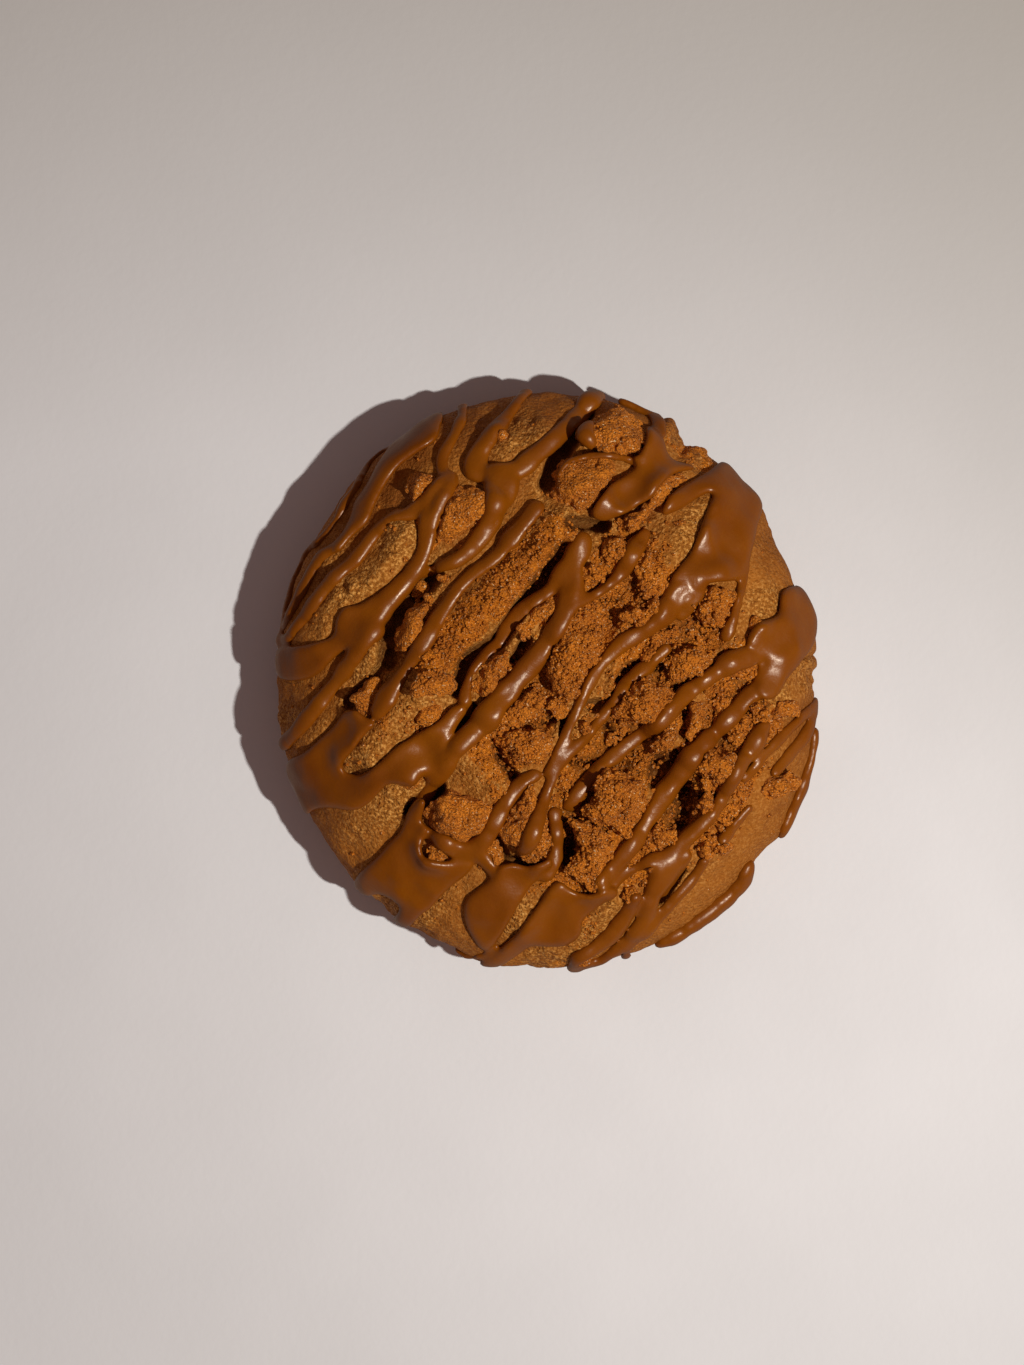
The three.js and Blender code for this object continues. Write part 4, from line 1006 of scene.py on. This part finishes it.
def ribbon_field(block, support, path):
    """How far points are from a ribbon's surface, in the window of the block that holds it."""
    margin = path[:, 3].max() / 2 + 2.2
    part = block.window(path[:, :3].min(axis=0) - margin, path[:, :3].max(axis=0) + margin)
    field = np.full(support[part].shape, SPREAD_FAR, np.float32)
    corner = [cut.start for cut in part]
    for start, end in zip(path[:-1], path[1:]):
        half = max(start[3], end[3]) / 2 + 1.6
        cut = block.window(np.minimum(start, end)[:3] - half, np.maximum(start, end)[:3] + half)
        away = [axis - first for axis, first in zip(block.places(cut), start)]
        run = (end - start)[:3]
        along = sum(a * b for a, b in zip(away, run)) / max(run @ run, 1e-9)
        along = np.clip(along, 0, 1)
        width = start[3] + (end[3] - start[3]) * along
        away = sum((a - b * along) ** 2 for a, b in zip(away, run))
        over = support[cut]
        sideways = np.maximum(away - over**2, 0) / (width / 2) ** 2
        flatness = smooth_step(*RIBBON_FLAT, width)
        sideways = sideways * (1 + flatness * (sideways - 1))
        tall = np.minimum(RIBBON_MAX_HEIGHT, RIBBON_SLOPE * width)
        value = (np.sqrt(sideways + round_over(over, tall) ** 2) - 1) * np.minimum(tall, width / 2)
        local = tuple(slice(c.start - f, c.stop - f) for c, f in zip(cut, corner))
        shape = field[local].shape
        field[local] = np.minimum(field[local], value[: shape[0], : shape[1], : shape[2]])
    return part, field


def thin_out(piece, triangles):
    """Joins a piece's smallest faces until about so many triangles are left."""
    piece.data.calc_loop_triangles()
    thinner = piece.modifiers.new("thin out", "DECIMATE")
    thinner.ratio = min(1.0, triangles / len(piece.data.loop_triangles))
    seen = bpy.context.evaluated_depsgraph_get()
    mesh = bpy.data.meshes.new_from_object(piece.evaluated_get(seen))
    piece.modifiers.clear()
    piece.data = mesh


def make_spread(supports, material):
    """The ribbons and pools of spread, run together and smoothed, as one piece."""
    rng = np.random.default_rng(9)
    block = Block(SPREAD_LOW, SPREAD_HIGH, SPREAD_STEP)
    raw = block.level_set(supports, SPREAD_REACH)
    soft = blur(block.bridged(raw, RIBBON_BRIDGE, SPREAD_REACH), SOFT_RIBBON, (0, 1, 2))
    full = blur(block.bridged(raw, POOL_BRIDGE, SPREAD_REACH), SOFT_POOL, (0, 1, 2))
    heights = blur(surface_heights(block, soft), SOFT_HEIGHT, (0, 1))
    fields = [pool_field(block, full, drop, outline) for drop, *outline in POOLS]
    fields += [ribbon_field(block, soft, drape(points, block, heights, rng)) for points in RIBBONS]
    spread = np.full(block.count, SPREAD_FAR, np.float32)
    for part, field in fields:
        near = np.maximum(SPREAD_JOIN - np.abs(spread[part] - field), 0)
        spread[part] = np.minimum(spread[part], field) - near**2 / (4 * SPREAD_JOIN)
    spread = blur(spread, SOFT_SPREAD, (0, 1, 2))
    spread = np.maximum(spread, -(soft + SPREAD_SINK))
    points, faces = block.surface(spread)
    piece = make_piece("spread", points, [faces], material, "spread")
    thin_out(piece, SPREAD_TRIANGLES)
    return piece, (points, faces)


# ---- Fine loose crumbs ----


DUST_GRAINS = 5600
DUST_STEP = 0.5
DUST_LOW = (-51, -54, -1)
DUST_REACH = 45  # the half side of the square that grains are tried in
DUST_BARE = 0.02  # the chance that a grain stays where no crumbs are
DUST_SMALL, DUST_LARGE = (0.18, 0.36), (0.36, 0.6)  # radii
DUST_SMALL_SHARE = 0.8
DUST_STRETCH = (0.7, 1.2)
DUST_EDGE = 0.95  # the share of the way to the rim beyond which none lies
DUST_SINK = 0.1  # a share of the radius


def grain_shape():
    """The corners and sides of a body with 20 equal sides and a radius of 1."""
    golden = (1 + math.sqrt(5)) / 2
    corners = np.array([
        np.roll((a, b, 0), turn) for turn in range(3) for b in (golden, -golden) for a in (-1, 1)
    ]) / math.hypot(1, golden)
    near = np.linalg.norm(corners[:, None] - corners, axis=-1) < 1.1
    sides = [
        (i, j, k) if np.linalg.det(corners[[i, j, k]]) > 0 else (i, k, j)
        for i, j, k in itertools.combinations(range(12), 3)
        if near[i, j] and near[j, k] and near[i, k]
    ]
    return corners, np.array(sides)


def make_dust(supports, spread, material):
    """Grains of biscuit scattered over the bare dough, each a small uneven lump."""
    rng = np.random.default_rng(12)
    block = Block(DUST_LOW, SPREAD_HIGH, DUST_STEP)
    heights = surface_heights(block, block.level_set(supports, 4))
    covered = surface_heights(block, block.level_set([spread], 4)) > heights
    corners, sides = grain_shape()
    points, faces = [], []
    while len(faces) < DUST_GRAINS:
        x, y = rng.uniform(-DUST_REACH, DUST_REACH, 2)
        i, j = (int(round((value - low) / block.step)) for value, low in zip((x, y), DUST_LOW))
        chance = DUST_BARE + Plan.read(DUSTING, x, y)
        if share(x, y) > DUST_EDGE or covered[i, j] or rng.uniform() > chance:
            continue
        radius = rng.uniform(*(DUST_SMALL if rng.uniform() < DUST_SMALL_SHARE else DUST_LARGE))
        uneven = rng.uniform(*DUST_STRETCH, (12, 1))
        lump = corners * radius * uneven * rng.uniform(*DUST_STRETCH, 3)
        points.append(lump + (x, y, heights[i, j] - DUST_SINK * radius))
        faces.append(sides + 12 * len(faces))
    make_piece("dust", np.vstack(points), [np.vstack(faces)], material, "biscuit")


# ---- Materials ----


class Nodes:
    """A material's nodes, with short ways to add and join them. Scales are per metre."""

    def __init__(self, name):
        self.material = bpy.data.materials.new(name)
        self.material.use_nodes = True
        self.tree = self.material.node_tree
        self.shader = self.tree.nodes["Principled BSDF"]
        self.place = self.add("ShaderNodeTexCoord").outputs["Object"]

    def add(self, kind, **values):
        node = self.tree.nodes.new(kind)
        for key, value in values.items():
            setattr(node, key, value)
        return node

    def join(self, output, socket):
        self.tree.links.new(output, socket)

    def noise(self, per_metre, detail=4.0, roughness=0.5):
        node = self.add("ShaderNodeTexNoise")
        self.join(self.place, node.inputs["Vector"])
        node.inputs["Scale"].default_value = per_metre
        node.inputs["Detail"].default_value = detail
        node.inputs["Roughness"].default_value = roughness
        return node.outputs["Fac"]

    def cells(self, per_metre):
        node = self.add("ShaderNodeTexVoronoi")
        self.join(self.place, node.inputs["Vector"])
        node.inputs["Scale"].default_value = per_metre
        return node.outputs["Distance"]

    def distance(self, centre):
        """How far each point is from a centre, in metres."""
        node = self.add("ShaderNodeVectorMath", operation="DISTANCE")
        self.join(self.place, node.inputs[0])
        node.inputs[1].default_value = centre
        return node.outputs["Value"]

    def attribute(self, name):
        return self.add("ShaderNodeAttribute", attribute_name=name).outputs["Fac"]

    def ramp(self, value, stops):
        node = self.add("ShaderNodeValToRGB")
        self.join(value, node.inputs["Fac"])
        ramp = node.color_ramp
        while len(ramp.elements) < len(stops):
            ramp.elements.new(0.5)
        for element, (at, colour) in zip(ramp.elements, stops):
            element.position = at
            element.color = (*colour, 1) if len(colour) == 3 else colour
        return node.outputs["Color"]

    def mix(self, fac, first, second):
        node = self.add("ShaderNodeMix", data_type="RGBA")
        sockets = {s.identifier: s for s in node.inputs}
        self.fill(sockets["Factor_Float"], fac)
        self.fill(sockets["A_Color"], first)
        self.fill(sockets["B_Color"], second)
        return next(s for s in node.outputs if s.identifier == "Result_Color")

    def fill(self, socket, value):
        if isinstance(value, bpy.types.NodeSocket):
            self.join(value, socket)
        elif isinstance(value, tuple):
            socket.default_value = (*value, 1)
        else:
            socket.default_value = value

    def remap(self, value, low, high, to_low=0.0, to_high=1.0):
        node = self.add("ShaderNodeMapRange")
        self.join(value, node.inputs["Value"])
        ends = {"From Min": low, "From Max": high, "To Min": to_low, "To Max": to_high}
        for name, number in ends.items():
            node.inputs[name].default_value = number
        return node.outputs["Result"]

    def bump(self, value, depth_mm, below=None, strength=1.0):
        node = self.add("ShaderNodeBump")
        self.join(value, node.inputs["Height"])
        self.fill(node.inputs["Strength"], strength)
        node.inputs["Distance"].default_value = depth_mm * MM
        if below is not None:
            self.join(below, node.inputs["Normal"])
        return node.outputs["Normal"]

    def finish(self, colour, roughness, normal=None, **constants):
        self.fill(self.shader.inputs["Base Color"], colour)
        self.fill(self.shader.inputs["Roughness"], roughness)
        if normal is not None:
            self.join(normal, self.shader.inputs["Normal"])
        for name, value in constants.items():
            self.shader.inputs[name.replace("_", " ")].default_value = value
        return self.material


def dough_material():
    n = Nodes("baked_dough")
    base = n.ramp(n.noise(150, 5), [(0.3, (0.27, 0.077, 0.006)), (0.7, (0.4, 0.128, 0.012))])
    sugar = n.ramp(n.noise(1900, 4, 0.6), [
        (0.34, (0.2, 0.055, 0.005)), (0.5, (0.39, 0.14, 0.016)), (0.64, (0.78, 0.38, 0.09)),
    ])
    colour = n.mix(n.remap(n.attribute("torn"), 0.15, 0.9, 0.25, 0.85), base, sugar)
    # Darker where the rim is toasted, and painted shade where the shaded patches lie.
    colour = n.mix(n.remap(n.attribute("toast_and_shade"), 0, 1, 0, 0.65), colour, (0.2, 0.052, 0.005))
    specks = n.add("ShaderNodeMath", operation="ADD")
    n.join(n.attribute("dusted"), specks.inputs[0])
    n.join(n.noise(900, 4, 0.6), specks.inputs[1])
    dust = n.remap(specks.outputs["Value"], 0.78, 1.1)
    colour = n.mix(dust, colour, biscuit_colour(n))
    # Painted shade in the cracks and hollows, darker the deeper they are, with some of the moist
    # dough's own darker colour.
    colour = n.mix(n.remap(n.attribute("crack_shade"), 0.3, 3.5, 0, 0.8), colour, (0.1, 0.03, 0.003))
    normal = n.bump(n.noise(1500, 4, 0.6), 0.6, n.bump(n.noise(420, 3), 0.2))
    normal = n.bump(n.cells(1900), -0.35, normal, n.remap(n.attribute("torn"), 0.2, 1, 0.1, 0.7))
    normal = n.bump(n.noise(2400, 3, 0.6), 0.6, normal, dust)
    rough = n.remap(n.noise(900, 2), 0.3, 0.7, 0.6, 0.9)
    return n.finish(colour, rough, normal, Specular_IOR_Level=0.15)


def biscuit_colour(n):
    """Grains of sugar and dark pores on an orange-brown ground: the pores' darkness is painted
    shade, and the pale glints are painted highlights.
    """
    # Bright grains with near-black edges: the dark edges are painted shade in the pores that the
    # cell bump sinks.
    grain = n.ramp(n.cells(2200), [
        (0.1, (0.95, 0.31, 0.024)), (0.5, (0.53, 0.13, 0.003)), (0.85, (0.085, 0.014, 0.001)),
    ])
    fine = n.ramp(n.noise(3200, 3, 0.6), [
        (0.38, (0.13, 0.026, 0.001)), (0.6, (0.95, 0.315, 0.026)), (0.7, (1.0, 0.54, 0.15)),
    ])
    tone = n.ramp(n.noise(240, 3), [(0.36, (0.32, 0.07, 0.001)), (0.64, (0.72, 0.207, 0.005))])
    # Painted glints: pale specks where the grains would catch the light.
    painted_glints = n.remap(n.noise(2600, 2, 0.6), 0.645, 0.7, 0, 0.75)
    return n.mix(painted_glints, n.mix(0.38, n.mix(0.5, grain, fine), tone), (1.0, 0.76, 0.4))


def biscuit_material():
    n = Nodes("spiced_biscuit")
    normal = n.bump(n.noise(3200, 3, 0.6), 0.42, n.bump(n.cells(2200), -0.4))
    rough = n.ramp(n.noise(2300, 2, 0.6), [(0.62, (0.9, 0.9, 0.9)), (0.68, (0.22, 0.22, 0.22))])
    return n.finish(biscuit_colour(n), rough, normal, Specular_IOR_Level=0.25)


def spread_material():
    n = Nodes("caramel_spread")
    colour = n.ramp(n.noise(90, 3), [(0.3, (0.185, 0.044, 0.001)), (0.7, (0.235, 0.062, 0.001))])
    normal = n.bump(n.noise(1500, 3, 0.6), 0.05, n.bump(n.noise(260, 2), 0.08))
    return n.finish(
        colour, n.remap(n.noise(300, 3), 0.3, 0.7, 0.28, 0.4), normal,
        Specular_IOR_Level=0.45, Specular_Tint=(1.0, 0.86, 0.7, 1.0), Subsurface_Weight=0.06,
        Subsurface_Scale=0.0015, Subsurface_Radius=(1.0, 0.45, 0.1),
    )


def floor_material():
    n = Nodes("pale_floor")
    paper = n.ramp(n.noise(35, 5), [(0.3, (0.715, 0.7, 0.69)), (0.7, (0.745, 0.73, 0.72))])
    # Painted light falloff: the floor darkens away from where the key lamp falls, and more toward
    # the top of the view.
    painted_falloff = n.remap(n.distance((0.03, -0.03, 0)), 0.06, 0.13, 0, 0.3)
    corner = n.remap(n.distance((-0.06, -0.12, 0)), 0.16, 0.29)
    colour = n.mix(corner, n.mix(painted_falloff, paper, (0.46, 0.45, 0.44)), (0.41, 0.385, 0.345))
    normal = n.bump(n.noise(600, 4), 0.05)
    rough = n.remap(n.noise(50, 2), 0.3, 0.7, 0.7, 0.8)
    return n.finish(colour, rough, normal, Specular_IOR_Level=0.2)


def card_material():
    n = Nodes("dim_card")
    n.shader.inputs["Base Color"].default_value = (0, 0, 0, 1)
    n.shader.inputs["Emission Color"].default_value = (1.0, 0.84, 0.72, 1)
    n.shader.inputs["Emission Strength"].default_value = CARD_GLOW
    return n.material


# ---- Stage ----

VIEW_CENTRE = (-6.3, -0.4)  # mm: the photograph's middle
VIEW_LENGTH = 238.9  # mm from the frame's top to its bottom, at the height of the belly
CAMERA_RISE = 800.0  # mm over the belly
KEY_TURN = -20.0  # degrees round from +X
KEY_ELEVATION = 60.5
KEY_DISTANCE = 0.85
KEY_SIZE = 0.025
KEY_POWER = 6.5
KEY_COLOUR = (1.0, 0.985, 0.955)
KEY_AIM = (0, 0, 0.015)
SKY_COLOUR = (1.0, 0.69, 0.66, 1)
SKY_STRENGTH = 0.175
SENSOR_HEIGHT = 36.0
FLOOR_HALF = 1.4
FLOOR_CELLS = 8
CARD_DEPTH = 0.002
CARD_GLOW = 0.2  # how bright the floor is in the spread's reflections


def make_plane(name, height, material):
    mesh = bpy.data.meshes.new(name)
    line = np.linspace(-FLOOR_HALF, FLOOR_HALF, FLOOR_CELLS + 1)
    corners = [(x, y, height) for x in line for y in line]
    starts = [i * len(line) + j for i in range(FLOOR_CELLS) for j in range(FLOOR_CELLS)]
    faces = [(at, at + len(line), at + len(line) + 1, at + 1) for at in starts]
    mesh.from_pydata(corners, [], faces)
    mesh.materials.append(material)
    plane = bpy.data.objects.new(name, mesh)
    bpy.context.scene.collection.objects.link(plane)
    return plane


def make_floor():
    """The floor, and a dim card under it that glossy surfaces reflect in its place."""
    floor = make_plane("floor", 0.0, floor_material())
    floor.visible_glossy = False
    card = make_plane("reflection_card", -CARD_DEPTH, card_material())
    card.visible_camera = card.visible_diffuse = card.visible_shadow = False


def make_lights():
    turn, rise = math.radians(KEY_TURN), math.radians(KEY_ELEVATION)
    towards = (math.cos(turn) * math.cos(rise), math.sin(turn) * math.cos(rise), math.sin(rise))
    data = bpy.data.lights.new("key", "AREA")
    data.shape = "DISK"
    data.size = KEY_SIZE
    data.energy = KEY_POWER
    data.color = KEY_COLOUR
    key = bpy.data.objects.new("key", data)
    key.location = Vector(towards) * KEY_DISTANCE
    key.rotation_euler = (Vector(KEY_AIM) - key.location).to_track_quat("-Z", "Y").to_euler()
    bpy.context.scene.collection.objects.link(key)
    world = bpy.data.worlds.new("world")
    world.use_nodes = True
    background = world.node_tree.nodes["Background"]
    background.inputs["Color"].default_value = SKY_COLOUR
    background.inputs["Strength"].default_value = SKY_STRENGTH
    world.cycles_visibility.glossy = False
    bpy.context.scene.world = world


def make_camera():
    data = bpy.data.cameras.new("camera")
    data.sensor_fit = "VERTICAL"
    data.sensor_height = SENSOR_HEIGHT
    data.lens = SENSOR_HEIGHT * CAMERA_RISE / VIEW_LENGTH
    data.clip_start = 0.01
    camera = bpy.data.objects.new("camera", data)
    camera.location = [value * MM for value in (*VIEW_CENTRE, BELLY_HEIGHT + CAMERA_RISE)]
    bpy.context.scene.collection.objects.link(camera)
    bpy.context.scene.camera = camera


# ---- The cookie ----

biscuit = biscuit_material()
dough_piece, dough_mesh = make_dough(dough_material())
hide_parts("cookie")
solids = [dough_mesh]
for chunk_number, (chunk_rise, *chunk_outline) in enumerate(CHUNKS, 1):
    solids.append(make_chunk(chunk_number, chunk_rise, chunk_outline, biscuit))
solids.append(make_crumbs(biscuit))
spread_piece, spread_mesh = make_spread(solids, spread_material())
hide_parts("cookie")
make_dust(solids, spread_mesh, biscuit)

make_floor()
make_lights()
make_camera()
bpy.context.scene.view_settings.view_transform = "Standard"

bpy.context.view_layer.update()
